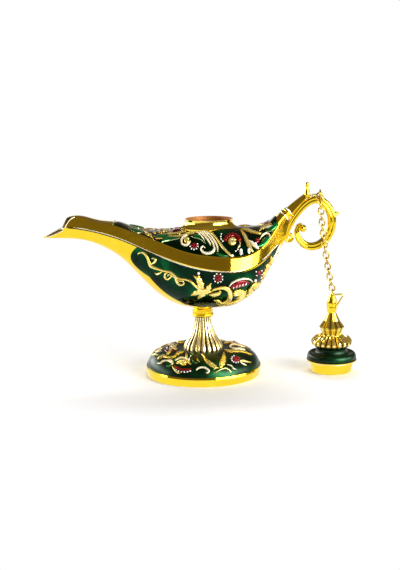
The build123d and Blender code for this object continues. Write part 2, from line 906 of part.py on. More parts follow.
link_blank = link_of(link_length, link_width, wire_radius)
wire_seat = ring_centre - Vector(0, 0, ring_radius)
seat_gap = ring_wire_radius + wire_radius + chain_gap
for number in range(1, link_count + 1):
    share = ((number - 1) / (link_count - 1)) ** lean_power
    lean = math.radians(lean_top + (lean_bottom - lean_top) * share)
    along = Vector(math.sin(lean), 0, -math.cos(lean))
    side = Vector(math.cos(lean), 0, math.sin(lean)) if number % 2 else Vector(0, 1, 0)
    top = wire_seat - along * seat_gap
    centre = top + along * (link_length / 2 - wire_radius)
    link = link_blank.moved(Plane(origin=centre, x_dir=side, z_dir=along * -1).location)
    finish(link, f"chain_link_{number:02d}")
    wire_seat = top + along * (link_length - 2 * wire_radius)
    seat_gap = 2 * wire_radius + chain_gap

# Lid ring, a rounded triangle hung by its first corner on the last link
corner = 2 * wire_radius + chain_gap
ring_corners = [
    wire_seat,
    wire_seat + Vector(lid_ring_reach, 0, lid_ring_lift),
    wire_seat + Vector(lid_ring_shift, 0, -lid_ring_drop),
]
across = Vector(0, 1, 0)
with BuildPart() as lid_ring:
    for index, start in enumerate(ring_corners):
        arriving = start - ring_corners[index - 1]
        leaving = ring_corners[(index + 1) % len(ring_corners)] - start
        bend_start = start + leaving.cross(across).normalized() * corner
        with BuildSketch(Plane(origin=bend_start, z_dir=leaving)):
            Circle(wire_radius)
        extrude(amount=leaving.length)
        with BuildSketch(Plane(origin=bend_start, z_dir=leaving)):
            Circle(wire_radius)
        revolve(axis=Axis(start, across * -1), revolution_arc=arriving.get_angle(leaving))
finish(lid_ring.part, "lid_ring")

# Lid, built upright on its own axis and then hung from the ring's lowest corner
eye_turn = math.radians(lid_eye_turn)
lid_origin = wire_seat + Vector(
    lid_ring_shift - lid_eye_offset * math.sin(eye_turn),
    lid_eye_offset * math.cos(eye_turn),
    -lid_ring_drop - lid_eye_height - lid_eye_radius,
)
hang = Location(lid_origin)
lid_bore = lid_screw_radius + screw_clearance
plug_top = plug_height + lip_thickness
plug_seat = plug_top - plug_roof

# Plug: a hollow cup that fits the neck, with the gold lip that rests on it
lid_plug = turned(
    (plug_foot_radius - plug_wall, 0),
    (plug_foot_radius, 0),
    (plug_radius, plug_taper_height),
    (plug_radius, plug_height),
    (lip_radius, plug_height + lip_thickness / 2),
    (lip_radius, plug_top),
    (lid_bore, plug_top),
    (lid_bore, plug_seat),
    (plug_radius - plug_wall, plug_seat),
    (plug_radius - plug_wall, plug_taper_height),
)
finish(hang * lid_plug, "lid_plug")

# Saucer, enamelled green, with a rolled rim and a waist
with BuildPart() as lid_saucer:
    with BuildSketch(Plane.XZ):
        with BuildLine():
            Polyline(
                (saucer_foot_radius, plug_top),
                (lid_bore, plug_top),
                (lid_bore, saucer_top_height),
                (saucer_top_radius, saucer_top_height),
            )
            Spline(
                (saucer_top_radius, saucer_top_height),
                (saucer_waist_radius, saucer_waist_height),
                (saucer_valley_radius, saucer_valley_height),
                (saucer_roll_radius, saucer_roll_height),
                (saucer_radius, saucer_rim_height),
                (saucer_foot_radius, plug_top),
            )
        make_face()
    revolve(axis=Axis.Z)
finish(hang * lid_saucer.part, "lid_saucer")

# Domed disc, fluted round its side
flute_reach = disc_radius + disc_flute_radius - disc_flute_depth
flute_lean = math.atan2(disc_radius - disc_top_radius, disc_top_height - disc_rim_height)
with BuildPart() as lid_disc:
    with BuildSketch(Plane.XZ):
        with BuildLine():
            Spline(
                (disc_under_radius, saucer_top_height),
                (disc_radius, disc_rim_height),
                (disc_shoulder_radius, disc_shoulder_height),
                (disc_top_radius, disc_top_height),
            )
            Polyline(
                (disc_top_radius, disc_top_height),
                (lid_bore, disc_top_height),
                (lid_bore, saucer_top_height),
                (disc_under_radius, saucer_top_height),
            )
        make_face()
    revolve(axis=Axis.Z)
    with BuildPart(mode=Mode.SUBTRACT):
        for turn in range(disc_flute_count):
            angle = math.radians(turn * 360 / disc_flute_count)
            way = Vector(math.cos(angle), math.sin(angle), 0)
            rise = Vector(0, 0, math.cos(flute_lean)) - way * math.sin(flute_lean)
            root = way * flute_reach + Vector(0, 0, disc_rim_height)
            with BuildSketch(Plane(origin=root, z_dir=rise)):
                Circle(disc_flute_radius)
            extrude(amount=disc_radius, both=True)
finish(hang * lid_disc.part, "lid_disc")

# Bell: a round bowl under a faceted cone
screw_top = disc_top_height + lid_screw_reach
with BuildPart() as lid_bell:
    add(
        turned(
            (0, disc_top_height),
            (bowl_foot_radius, disc_top_height),
            (bowl_foot_radius, disc_top_height + bowl_foot_height),
            (bowl_radius, bell_base_height),
            (bell_radius, bell_edge_height),
            (0, bell_edge_height),
        )
    )
    for height, radius in (
        (bell_edge_height, bell_radius),
        (bell_middle_height, bell_middle_radius),
        (bell_top_height, bell_top_radius),
    ):
        with BuildSketch(Plane.XY.offset(height)):
            RegularPolygon(radius, bell_sides)
    loft(ruled=True)
    add(
        cut_round(0, disc_top_height, screw_top + part_gap, lid_screw_radius + part_gap),
        mode=Mode.SUBTRACT,
    )
finish(hang * lid_bell.part, "lid_bell")

# Bud: a faceted crown with a pointed bud standing in it
with BuildPart() as lid_bud:
    for height, radius in ((bell_top_height, bell_top_radius), (crown_height, crown_radius)):
        with BuildSketch(Plane.XY.offset(height)):
            RegularPolygon(radius, bud_sides)
    loft()
    for height, radius in (
        (crown_height, crown_radius - crown_edge),
        (lid_bud_wide_height, lid_bud_radius),
        (lid_bud_shoulder_height, lid_bud_shoulder_radius),
        (lid_height, lid_bud_tip_radius),
    ):
        with BuildSketch(Plane.XY.offset(height)):
            RegularPolygon(radius, bud_sides)
    loft()
finish(hang * lid_bud.part, "lid_bud")

# Eye on the crown's front, through which the lid ring passes
eye_plane = Plane(
    origin=(
        lid_eye_offset * math.sin(eye_turn),
        -lid_eye_offset * math.cos(eye_turn),
        lid_eye_height,
    ),
    x_dir=(math.sin(eye_turn), -math.cos(eye_turn), 0),
    z_dir=(math.cos(eye_turn), math.sin(eye_turn), 0),
)
lid_eye = ring_of(lid_eye_radius, lid_eye_wire_radius, eye_plane) - lid_bud.part
lid_eye_piece = Part(lid_eye.solids().sort_by(SortBy.VOLUME)[-1].wrapped)
finish(hang * lid_eye_piece, "lid_eye")

# Screw from inside the plug up into the bell
lid_screw = slotted_screw(
    plug_seat, screw_top, lid_screw_radius, lid_screw_head_radius, lid_screw_head_height
)
finish(hang * lid_screw, "lid_screw")
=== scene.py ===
"""Genie oil lamp: finishes, cast relief and studio round the frame's solids."""
import math

import bmesh
import bpy
import numpy as np
from mathutils import Matrix, Vector


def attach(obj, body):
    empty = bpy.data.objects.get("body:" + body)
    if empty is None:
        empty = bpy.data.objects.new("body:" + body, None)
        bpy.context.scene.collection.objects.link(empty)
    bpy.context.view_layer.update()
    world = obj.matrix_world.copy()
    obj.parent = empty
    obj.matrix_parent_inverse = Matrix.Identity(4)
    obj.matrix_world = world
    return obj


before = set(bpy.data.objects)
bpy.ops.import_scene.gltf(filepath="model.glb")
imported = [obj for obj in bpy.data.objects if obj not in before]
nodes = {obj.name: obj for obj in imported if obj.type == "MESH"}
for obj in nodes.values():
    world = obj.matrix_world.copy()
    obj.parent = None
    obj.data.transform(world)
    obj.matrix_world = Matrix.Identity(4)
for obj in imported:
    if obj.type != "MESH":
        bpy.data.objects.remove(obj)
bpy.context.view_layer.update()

# Shapes are worked out in millimetres and stored in metres.
METRES = 0.001
# Least divisor
TINY = 1e-12

# Camera of the photograph, in millimetres and pixels
LENS_SIDE = -1.2
LENS_DISTANCE = 510.0
LENS_HEIGHT = 138.0
AIM_HEIGHT = 46.0
LENS_ROLL = math.radians(0.9)
FOCUS = 1011.0
PICTURE_WIDTH = 400
PICTURE_HEIGHT = 570
SENSOR = 36.0
# Nearest and farthest that it sees, in metres
CLIP_START = 0.01
CLIP_END = 20.0


def unit(vector):
    """Vector, or row of vectors, of length one."""
    return vector / np.maximum(np.linalg.norm(vector, axis=-1, keepdims=True), TINY)


lens = np.array([LENS_SIDE, -LENS_DISTANCE, LENS_HEIGHT])
sight = unit(np.array([LENS_SIDE, 0.0, AIM_HEIGHT]) - lens)
level_side = unit(np.cross(sight, [0.0, 0.0, 1.0]))
level_up = np.cross(level_side, sight)
picture_side = level_side * math.cos(LENS_ROLL) - level_up * math.sin(LENS_ROLL)
picture_up = level_side * math.sin(LENS_ROLL) + level_up * math.cos(LENS_ROLL)


def place_camera():
    """Camera at the photograph's place, with its picture's width on a 36 mm sensor."""
    data = bpy.data.cameras.new("camera")
    data.sensor_fit = "HORIZONTAL"
    data.sensor_width = SENSOR
    data.lens = FOCUS / PICTURE_WIDTH * SENSOR
    data.clip_start = CLIP_START
    data.clip_end = CLIP_END
    camera = bpy.data.objects.new("camera", data)
    bpy.context.scene.collection.objects.link(camera)
    turn = np.eye(4)
    turn[:3, 0] = picture_side
    turn[:3, 1] = picture_up
    turn[:3, 2] = -sight
    turn[:3, 3] = lens * METRES
    camera.matrix_world = Matrix(turn.tolist())
    bpy.context.scene.camera = camera


place_camera()
bpy.context.scene.view_settings.view_transform = "Standard"


# Parts of finishes

# Range that most of the noise lies in
NOISE_LOW = 0.3
NOISE_HIGH = 0.7


def finish_base(name, **sockets):
    """Material with a principled shader, its plain sockets set."""
    material = bpy.data.materials.new(name)
    material.use_nodes = True
    shader = material.node_tree.nodes["Principled BSDF"]
    for socket, value in sockets.items():
        shader.inputs[socket.replace("_", " ")].default_value = value
    return material, material.node_tree.nodes, material.node_tree.links, shader


def own_place(tree, links, shift=(0, 0, 0), stretch=(1, 1, 1)):
    """The object's own place in metres, stretched and then shifted."""
    place = tree.new("ShaderNodeTexCoord")
    move = tree.new("ShaderNodeMapping")
    move.inputs["Location"].default_value = shift
    move.inputs["Scale"].default_value = stretch
    links.new(place.outputs["Object"], move.inputs["Vector"])
    return move.outputs["Vector"]


def worked(tree, links, operation, *values):
    """One step of arithmetic on plain numbers and other nodes' outputs."""
    step = tree.new("ShaderNodeMath")
    step.operation = operation
    for value, socket in zip(values, step.inputs):
        if isinstance(value, bpy.types.NodeSocket):
            links.new(value, socket)
        else:
            socket.default_value = value
    return step.outputs["Value"]


def length(tree, links, vector):
    """Length of a vector."""
    step = tree.new("ShaderNodeVectorMath")
    step.operation = "LENGTH"
    links.new(vector, step.inputs[0])
    return step.outputs["Value"]


def spread(tree, links, value, low, high, to_low=0.0, to_high=1.0):
    """A value's place between two others, carried over to between two new ones."""
    step = tree.new("ShaderNodeMapRange")
    step.inputs["From Min"].default_value = low
    step.inputs["From Max"].default_value = high
    step.inputs["To Min"].default_value = to_low
    step.inputs["To Max"].default_value = to_high
    links.new(value, step.inputs["Value"])
    return step.outputs["Result"]


def mottle(tree, links, grain, detail, low=0.0, high=1.0, stretch=(1, 1, 1)):
    """Noise on the object's own place, spread between two values."""
    noise = tree.new("ShaderNodeTexNoise")
    noise.inputs["Scale"].default_value = grain
    noise.inputs["Detail"].default_value = detail
    links.new(own_place(tree, links, stretch=stretch), noise.inputs["Vector"])
    return spread(tree, links, noise.outputs["Fac"], NOISE_LOW, NOISE_HIGH, low, high)


def colours(tree, links, share, stops):
    """Colour ramp over a share."""
    ramp = tree.new("ShaderNodeValToRGB")
    while len(ramp.color_ramp.elements) < len(stops):
        ramp.color_ramp.elements.new(0.5)
    for element, (place, colour) in zip(ramp.color_ramp.elements, stops):
        element.position = place
        element.color = (*colour, 1.0)
    links.new(share, ramp.inputs["Fac"])
    return ramp.outputs["Color"]


def blend(tree, links, share, first, second):
    """Colour that turns by a share from a node's to a plain one."""
    mix = tree.new("ShaderNodeMix")
    mix.data_type = "RGBA"
    links.new(share, mix.inputs["Factor"])
    links.new(first, mix.inputs[6])
    mix.inputs[7].default_value = (*second, 1.0)
    return mix.outputs[2]


def ripple(tree, links, shader, height, distance, strength):
    """Bump of the shader by a height."""
    bump = tree.new("ShaderNodeBump")
    bump.inputs["Strength"].default_value = strength
    bump.inputs["Distance"].default_value = distance
    links.new(height, bump.inputs["Height"])
    links.new(bump.outputs["Normal"], shader.inputs["Normal"])


# Finishes. Grains count the noise's waves per metre, and waves' heights are in metres.

PLATING_GRAIN = 130.0
POLISH_GRAIN = 420.0
CASTING_GRAIN = 190.0
CASTING_HEIGHT = 0.0002
ENAMEL_GRAIN = 95.0
GLAZE_GRAIN = 240.0
GLAZE_HEIGHT = 0.00025
GLAZE_WAVES = 0.08
# Grain of the noise that shifts the relief's painted shade and highlight
JITTER_GRAIN = 900.0


def speckled(name, stops, grain, detail, stretch=(1, 1, 1), **sockets):
    """Finish whose colour follows the noise."""
    material, tree, links, shader = finish_base(name, **sockets)
    tone = mottle(tree, links, grain, detail, stretch=stretch)
    links.new(colours(tree, links, tone, stops), shader.inputs["Base Color"])
    return material, tree, links, shader


def plated(name, pale, deep, gloss_low, gloss_high, casting):
    """Polished plating: two close golds, uneven polish and the faint waves of a casting."""
    material, tree, links, shader = speckled(
        name, ((0.0, deep), (1.0, pale)), PLATING_GRAIN, detail=3.0, Metallic=1.0
    )
    polish = mottle(tree, links, POLISH_GRAIN, detail=4.0, low=gloss_low, high=gloss_high)
    links.new(polish, shader.inputs["Roughness"])
    waves = mottle(tree, links, CASTING_GRAIN, detail=2.0)
    ripple(tree, links, shader, waves, CASTING_HEIGHT, casting)
    return material


def enamelled(name, dark, middle, light, metal, gloss, coat):
    """Glassy enamel over bright metal: its depth varies, and a thin clear coat lies on it."""
    material, tree, links, shader = speckled(
        name, ((0.0, dark), (0.55, middle), (1.0, light)), ENAMEL_GRAIN, detail=3.0,
        Metallic=metal, Roughness=gloss, Coat_Weight=coat, Coat_Roughness=0.02, Coat_IOR=1.45,
    )
    waves = mottle(tree, links, GLAZE_GRAIN, detail=2.0)
    ripple(tree, links, shader, waves, GLAZE_HEIGHT, GLAZE_WAVES)
    return material


def raised(name, stops, metal, gloss, coat=0.0, uneven=0.25):
    """Finish of the relief: its colour follows the height over the ground from the edge to the
    top, shifted unevenly by noise, so that its tones can paint shade at the edge and a highlight
    on the top."""
    material, tree, links, shader = finish_base(
        name, Metallic=metal, Roughness=gloss, Coat_Weight=coat, Coat_Roughness=0.03
    )
    ridge = tree.new("ShaderNodeAttribute")
    ridge.attribute_name = "ridge"
    # Noise that shifts the painted shade and highlight unevenly over the relief
    jitter = mottle(tree, links, JITTER_GRAIN, detail=2.0, low=-uneven, high=uneven)
    share = worked(tree, links, "ADD", ridge.outputs["Fac"], jitter)
    links.new(colours(tree, links, share, stops), shader.inputs["Base Color"])
    return material


def axis_of(name):
    """Middle of a node's box across and along the lamp, in metres."""
    corner = np.empty(len(nodes[name].data.vertices) * 3)
    nodes[name].data.vertices.foreach_get("co", corner)
    corner = corner.reshape(-1, 3)
    return (corner.min(axis=0) + corner.max(axis=0))[:2] / 2


def reeded(name, node, count, stops, metal, gloss):
    """Plating of a node with reeds round its upright axis. The colour follows the cosine of
    the turn times their number, from painted shade in the hollows to a painted highlight on the
    crests; one crest lies towards x."""
    material, tree, links, shader = finish_base(name, Metallic=metal, Roughness=gloss)
    axis = axis_of(node)
    parts = tree.new("ShaderNodeSeparateXYZ")
    links.new(own_place(tree, links, (-axis[0], -axis[1], 0.0)), parts.inputs["Vector"])
    turn = worked(tree, links, "ARCTAN2", parts.outputs["Y"], parts.outputs["X"])
    wave = worked(tree, links, "COSINE", worked(tree, links, "MULTIPLY", turn, count))
    share = spread(tree, links, wave, -1.0, 1.0)
    links.new(colours(tree, links, share, stops), shader.inputs["Base Color"])
    return material


def bored(name, pale, deep, rim_gloss, casting, centre, radius, wall, wall_metal, wall_gloss):
    """Plating, evenly polished, that turns to a wall's colour, metal share and roughness
    inside a radius round an upright axis."""
    material = plated(name, pale, deep, rim_gloss, rim_gloss, casting)
    tree, links = material.node_tree.nodes, material.node_tree.links
    shader = tree["Principled BSDF"]
    place = own_place(tree, links, (-centre * METRES, 0.0, 0.0), (1.0, 1.0, 0.0))
    inside = worked(tree, links, "LESS_THAN", length(tree, links, place), radius * METRES)
    for socket, outside, within in (
        ("Metallic", 1.0, wall_metal), ("Roughness", rim_gloss, wall_gloss)
    ):
        share = spread(tree, links, inside, 0.0, 1.0, outside, within)
        links.new(share, shader.inputs[socket])
    outer = shader.inputs["Base Color"].links[0].from_socket
    links.new(blend(tree, links, inside, outer, wall), shader.inputs["Base Color"])
    return material


# Platings: pale and deep gold, least and greatest roughness, strength of the casting's waves
gold = plated("gold_plating", (1.0, 0.75, 0.045), (0.98, 0.69, 0.03), 0.06, 0.10, 0.003)
chain_gold = plated("chain_gold", (1.0, 0.82, 0.22), (0.60, 0.40, 0.05), 0.10, 0.20, 0.0)
# The shade and tongue golds are darkened golds, a painted dark reflection on the lips' facets and
# the band's tail; the groove's near black is painted shade in the seam.
shade_gold = plated("shade_gold", (0.24, 0.14, 0.015), (0.16, 0.09, 0.01), 0.15, 0.25, 0.0)
tongue_gold = plated("tongue_gold", (0.85, 0.58, 0.05), (0.70, 0.46, 0.03), 0.16, 0.26, 0.0)
groove_shade = plated("groove_shade", (0.10, 0.05, 0.01), (0.05, 0.025, 0.006), 0.3, 0.45, 0.0)

# Neck: its middle and the reach of its darker wall, in millimetres. The wall's darker colour
# is painted shade inside the bore.
NECK_OFFSET = 3.8
NECK_INSIDE = 11.6
neck_gold = bored(
    "neck_gold", (1.0, 0.80, 0.12), (0.95, 0.70, 0.07), rim_gloss=0.10, casting=0.02,
    centre=NECK_OFFSET, radius=NECK_INSIDE,
    wall=(0.46, 0.18, 0.03), wall_metal=0.45, wall_gloss=0.45,
)

# Reeds, flutes and facets: their number, and their tones from the hollow to the crest, painted
# shade in the hollows and a painted highlight on the crests. The disc's flutes are hollow
# towards x, so its tones run the other way.
STEM_REEDS = 20
REED_TONES = (
    (0.0, (0.06, 0.03, 0.004)), (0.30, (0.22, 0.12, 0.012)), (0.48, (0.95, 0.74, 0.20)),
    (0.72, (1.0, 0.90, 0.46)), (1.0, (1.0, 0.93, 0.56)),
)
DISC_FLUTES = 22
FLUTE_TONES = (
    (0.0, (1.0, 0.88, 0.36)), (0.5, (0.95, 0.68, 0.06)), (0.78, (0.50, 0.28, 0.02)),
    (1.0, (0.07, 0.035, 0.004)),
)
BELL_FACETS = 12
FACET_TONES = (
    (0.0, (0.30, 0.18, 0.02)), (0.45, (0.80, 0.55, 0.05)), (0.6, (1.0, 0.78, 0.10)),
    (1.0, (1.0, 0.85, 0.22)),
)
stem_gold = reeded("stem_gold", "fluted_stem", STEM_REEDS, REED_TONES, metal=0.75, gloss=0.22)
disc_gold = reeded("disc_gold", "lid_disc", DISC_FLUTES, FLUTE_TONES, metal=0.9, gloss=0.14)
bell_gold = reeded("bell_gold", "lid_bell", BELL_FACETS, FACET_TONES, metal=0.95, gloss=0.12)

# Relief: its tones from the edge to the top. For the gold, pale gold and red they are painted
# shade at the edge and a painted highlight on the top, and the pale gold's cream is painted
# highlight. The green starts from its real gold rim, and its pale band and bright top are painted
# highlight.
GOLD_TONES = (
    (0.0, (0.16, 0.07, 0.006)), (0.32, (0.85, 0.48, 0.04)), (0.65, (1.0, 0.78, 0.13)),
    (1.0, (1.0, 0.92, 0.42)),
)
PALE_TONES = ((0.0, (0.30, 0.16, 0.02)), (0.3, (0.95, 0.80, 0.35)), (1.0, (0.97, 0.93, 0.76)))
RIMMED_TONES = (
    (0.0, (0.75, 0.62, 0.20)), (0.30, (0.55, 0.75, 0.35)), (0.5, (0.0, 0.10, 0.02)),
    (1.0, (0.01, 0.30, 0.06)),
)
RED_TONES = ((0.0, (0.03, 0.0, 0.0)), (0.5, (0.15, 0.0, 0.003)), (1.0, (0.32, 0.002, 0.006)))
relief_gold = raised("relief_gold", GOLD_TONES, metal=0.75, gloss=0.2)
pale_gold = raised("pale_gold", PALE_TONES, metal=0.35, gloss=0.25)
rimmed_green = raised(
    "rimmed_green", RIMMED_TONES, metal=0.8, gloss=0.16, coat=0.4, uneven=0.1
)
red = raised("red_enamel", RED_TONES, metal=0.6, gloss=0.14, coat=0.25, uneven=0.15)

# Grounds of enamel: dark, middle and light green
green = enamelled(
    "green_enamel", (0.0, 0.007, 0.003), (0.0, 0.034, 0.010), (0.0, 0.13, 0.028),
    metal=0.95, gloss=0.14, coat=0.10,
)
deep_green = enamelled(
    "deep_green_enamel", (0.0, 0.006, 0.002), (0.0, 0.024, 0.006), (0.0, 0.085, 0.016),
    metal=0.7, gloss=0.34, coat=0.06,
)

PEARL_TONES = ((0.0, (0.86, 0.84, 0.76)), (1.0, (0.97, 0.96, 0.93)))
STEEL_TONES = ((0.0, (0.42, 0.42, 0.43)), (1.0, (0.62, 0.62, 0.63)))
pearl = speckled(
    "pearl", PEARL_TONES, grain=600.0, detail=2.0,
    Roughness=0.12, Coat_Weight=0.8, Coat_Roughness=0.03, Sheen_Weight=0.2,
)[0]
steel, tree, links, shader = speckled(
    "screw_steel", STEEL_TONES, grain=300.0, detail=3.0, stretch=(1, 1, 8), Metallic=1.0
)
polish = mottle(tree, links, grain=500.0, detail=2.0, low=0.25, high=0.4)
links.new(polish, shader.inputs["Roughness"])

OWN_FINISHES = {
    "fluted_stem": stem_gold,
    "lid_disc": disc_gold,
    "lid_bell": bell_gold,
    "neck_collar": neck_gold,
    "foot_enamel": deep_green,
    "lid_saucer": deep_green,
}


def finish_of(name):
    """Finish of a node by its name."""
    if name in OWN_FINISHES:
        return OWN_FINISHES[name]
    if "enamel" in name:
        return green
    if name.endswith(("screw", "washer")):
        return steel
    return chain_gold if name.startswith("chain_") else gold


for name, node in nodes.items():
    node.data.materials.clear()
    node.data.materials.append(finish_of(name))


# Lines of sight, and where they meet the lamp

# Nothing is laid on the deck's enamel beyond this depth, which lies short of the neck's far side
DECK_DEPTH = 6.0
# Corners that agree to this many digits of a millimetre are one
JOINED_DIGITS = 3
# Pixels round a stroke in which triangles are looked at
WINDOW = 0.5
# How far past its edges a triangle is still met, and the least turn of one towards the lens
EDGE_SLACK = 1e-5
EDGE_ON = 1e-9


def rays(picture):
    """Directions of sight through points of the picture."""
    along = (picture[..., 0:1] - PICTURE_WIDTH / 2) / FOCUS
    down = (picture[..., 1:2] - PICTURE_HEIGHT / 2) / FOCUS
    return sight + along * picture_side - down * picture_up


def seen_at(points):
    """Places in the picture of points in millimetres."""
    away = points - lens
    depth = away @ sight
    across = PICTURE_WIDTH / 2 + FOCUS * (away @ picture_side) / depth
    down = PICTURE_HEIGHT / 2 - FOCUS * (away @ picture_up) / depth
    return np.stack([across, down], axis=-1)


skins = {}


def skin(name):
    """Corners, triangles and smooth normals of a node, with corners at one place joined, and
    the corners' places in the picture."""
    if name not in skins:
        mesh = nodes[name].data
        mesh.calc_loop_triangles()
        corner = np.empty(len(mesh.vertices) * 3)
        mesh.vertices.foreach_get("co", corner)
        face = np.empty(len(mesh.loop_triangles) * 3, dtype=np.int32)
        mesh.loop_triangles.foreach_get("vertices", face)
        places, joined = np.unique(
            np.round(corner.reshape(-1, 3) / METRES, JOINED_DIGITS), axis=0, return_inverse=True
        )
        face = joined.reshape(-1)[face].reshape(-1, 3)
        a, b, c = (places[face[:, k]] for k in range(3))
        steep = np.cross(b - a, c - a)
        bend = np.zeros_like(places)
        for k in range(3):
            np.add.at(bend, face[:, k], steep)
        skins[name] = (places, face, unit(bend), seen_at(places))
    return skins[name]


def land(picture, name):
    """First meeting of each line of sight with a node, and the smooth normal there.
    A line meets a triangle where its two edge weights and their sum lie in 0 to 1; a line
    that misses takes the node's nearest corner in the picture."""
    places, face, bend, flat = skin(name)
    depth_limit = DECK_DEPTH if name == "deck_enamel" else np.inf
    face = face[places[face][:, :, 1].max(axis=1) < depth_limit]
    shape = picture.shape[:-1]
    want = picture.reshape(-1, 2)
    corners = flat[face]
    low, high = want.min(axis=0) - WINDOW, want.max(axis=0) + WINDOW
    near = ((corners.max(axis=1) > low) & (corners.min(axis=1) < high)).all(axis=1)
    face = face[near] if near.any() else face[:1]
    a, b, c = (places[face[:, k]] for k in range(3))
    edge, other = b - a, c - a
    way = rays(want)
    across = np.cross(way[:, None], other[None])
    facing = (across * edge).sum(axis=-1)
    facing = np.where(np.abs(facing) < EDGE_ON, EDGE_ON, facing)
    start = lens - a
    first = (across * start).sum(axis=-1) / facing
    turn = np.cross(start, edge)
    second = (way @ turn.T) / facing
    run = (other * turn).sum(axis=-1)[None] / facing
    inside = (
        (first > -EDGE_SLACK) & (second > -EDGE_SLACK)
        & (first + second < 1 + EDGE_SLACK) & (run > 0)
    )
    run = np.where(inside, run, np.inf)
    row = np.arange(len(want))
    best = run.argmin(axis=1)
    reach = run[row, best]
    hit = np.isfinite(reach)
    where = lens + way * np.where(hit, reach, 0.0)[:, None]
    first, second = first[row, best], second[row, best]
    weight = np.stack([1 - first - second, first, second], axis=-1)
    slope = unit((bend[face[best]] * weight[..., None]).sum(axis=1))
    visible = ((bend * (lens - places)).sum(axis=1) > 0) & (places[:, 1] < depth_limit)
    visible = np.flatnonzero(visible)
    gap = ((want[~hit][:, None] - flat[visible][None]) ** 2).sum(axis=-1)
    nearest = visible[gap.argmin(axis=1)]
    where[~hit] = places[nearest]
    slope[~hit] = bend[nearest]
    return where.reshape(*shape, 3), slope.reshape(*shape, 3)


# Meshes. Corners closer than the first distance are joined and edges shorter than the second
# are taken out, in metres.

JOINED = 2e-6
CRUMB = 1e-6


def quads(index):
    """Four-sided faces between neighbouring rows and columns of an index grid."""
    return np.stack(
        [index[:-1, :-1], index[1:, :-1], index[1:, 1:], index[:-1, 1:]], axis=-1
    ).reshape(-1, 4)


def grid_quads(rows, columns):
    """Four-sided faces of a whole grid of points."""
    return quads(np.arange(rows * columns).reshape(rows, columns))


def cushion(top, base):
    """Closed skin of two grids of points that share their border: faces of the top, then of
    the base turned over. The last value counts the base's own points."""
    rows, columns = top.shape[:2]
    index = np.arange(rows * columns).reshape(rows, columns)
    under = index.copy()
    inner = (rows - 2) * (columns - 2)
    under[1:-1, 1:-1] = rows * columns + np.arange(inner).reshape(rows - 2, columns - 2)
    points = np.concatenate([top.reshape(-1, 3), base[1:-1, 1:-1].reshape(-1, 3)])
    return points, np.concatenate([quads(index), quads(under)[:, ::-1]]), inner


def make(name, shells, material, body="lamp", both=False):
    """One object from a list of closed skins, and their copies across the middle plane. A
    skin may carry the share of its height at each point."""
    points, faces, ridge, total = [], [], [], 0
    for place, face, *share in shells:
        points.append(place)
        faces.append(face + total)
        ridge.append(share[0] if share else np.ones(len(place)))
        total += len(place)
        if both:
            points.append(place * np.array([1.0, -1.0, 1.0]))
            faces.append(face[:, ::-1] + total)
            ridge.append(ridge[-1])
            total += len(place)
    mesh = bpy.data.meshes.new(name)
    place = (np.concatenate(points) * METRES).tolist()
    mesh.from_pydata(place, [], np.concatenate(faces).tolist())
    shares = mesh.attributes.new("ridge", "FLOAT", "POINT")
    shares.data.foreach_set("value", np.concatenate(ridge))
    work = bmesh.new()
    work.from_mesh(mesh)
    bmesh.ops.remove_doubles(work, verts=work.verts, dist=JOINED)
    bmesh.ops.dissolve_degenerate(work, edges=work.edges, dist=CRUMB)
    bmesh.ops.recalc_face_normals(work, faces=work.faces)
    work.to_mesh(mesh)
    work.free()
    mesh.polygons.foreach_set("use_smooth", np.ones(len(mesh.polygons), dtype=bool))
    mesh.materials.append(material)
    piece = bpy.data.objects.new(name, mesh)
    bpy.context.scene.collection.objects.link(piece)
    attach(piece, body)


# Strokes of the relief: each is a grid of places in the picture with heights in millimetres

SUNK = -0.25
# Width of a crease as a share of half the band's
CREASE_WIDTH = 0.22
# Leaf: its stations, the points that its middle line is bent through, the power that fills its
# outline, the depth of a notch
LEAF_STEPS = 26
LEAF_KNOTS = 7
LEAF_POWER = 0.8
NOTCH_DEPTH = 0.28
# Fan: stations of a lobe, rows out to the rim, how far the rim and the height fall between two
# lobes, and the powers that fill a lobe and lay its height inwards
LOBE_STEPS = 8
FAN_ROWS = 9
LOBE_DEPTH = 0.14
LOBE_DISH = 0.35
LOBE_POWER = 0.7
FAN_POWER = 0.9
# Least width or height that a share is taken of
LEAST = 1e-6


def through(points, count):
    """Smooth line through points: between two of them, the cubic whose slopes are half the
    chords to the neighbours."""
    points = np.asarray(points, dtype=float)
    last = len(points) - 1
    along = np.linspace(0, last, count)
    left = np.minimum(along.astype(int), last - 1)
    share = (along - left)[:, None]
    before, after = points[np.maximum(left - 1, 0)], points[np.minimum(left + 2, last)]
    start, end = points[left], points[left + 1]
    return 0.5 * (
        2 * start
        + (end - before) * share
        + (2 * before - 5 * start + 4 * end - after) * share**2
        + (3 * start - before - 3 * end + after) * share**3
    )


def trail(points, rise, count=40, columns=9, crease=0.0, full=0.6):
    """Band along a line through (across, down, width) in pixels. Its section is the arch
    1 - out squared, to the power of its fullness, with a crease along the middle. Its height
    follows the root of the width, and both ends run out to nothing."""
    line = through(points, count)
    step = unit(np.gradient(line[:, :2], axis=0))
    side = np.stack([-step[:, 1], step[:, 0]], axis=-1)
    out = -np.cos(np.linspace(0, np.pi, columns))
    half = np.maximum(line[:, 2], 0.0) / 2
    half[0] = half[-1] = 0.0
    grid = line[:, None, :2] + side[:, None] * (half[:, None] * out)[..., None]
    arch = np.maximum(1 - out**2, 0.0) ** full
    arch = arch * (1 - crease * np.exp(-((out / CREASE_WIDTH) ** 2)))
    swell = np.minimum(half / max(half.max(), LEAST), 1.0) ** 0.5
    return grid, rise * swell[:, None] * arch


def trails(lines, **form):
    """Bands along several lines."""
    return [trail(line, **form) for line in lines]


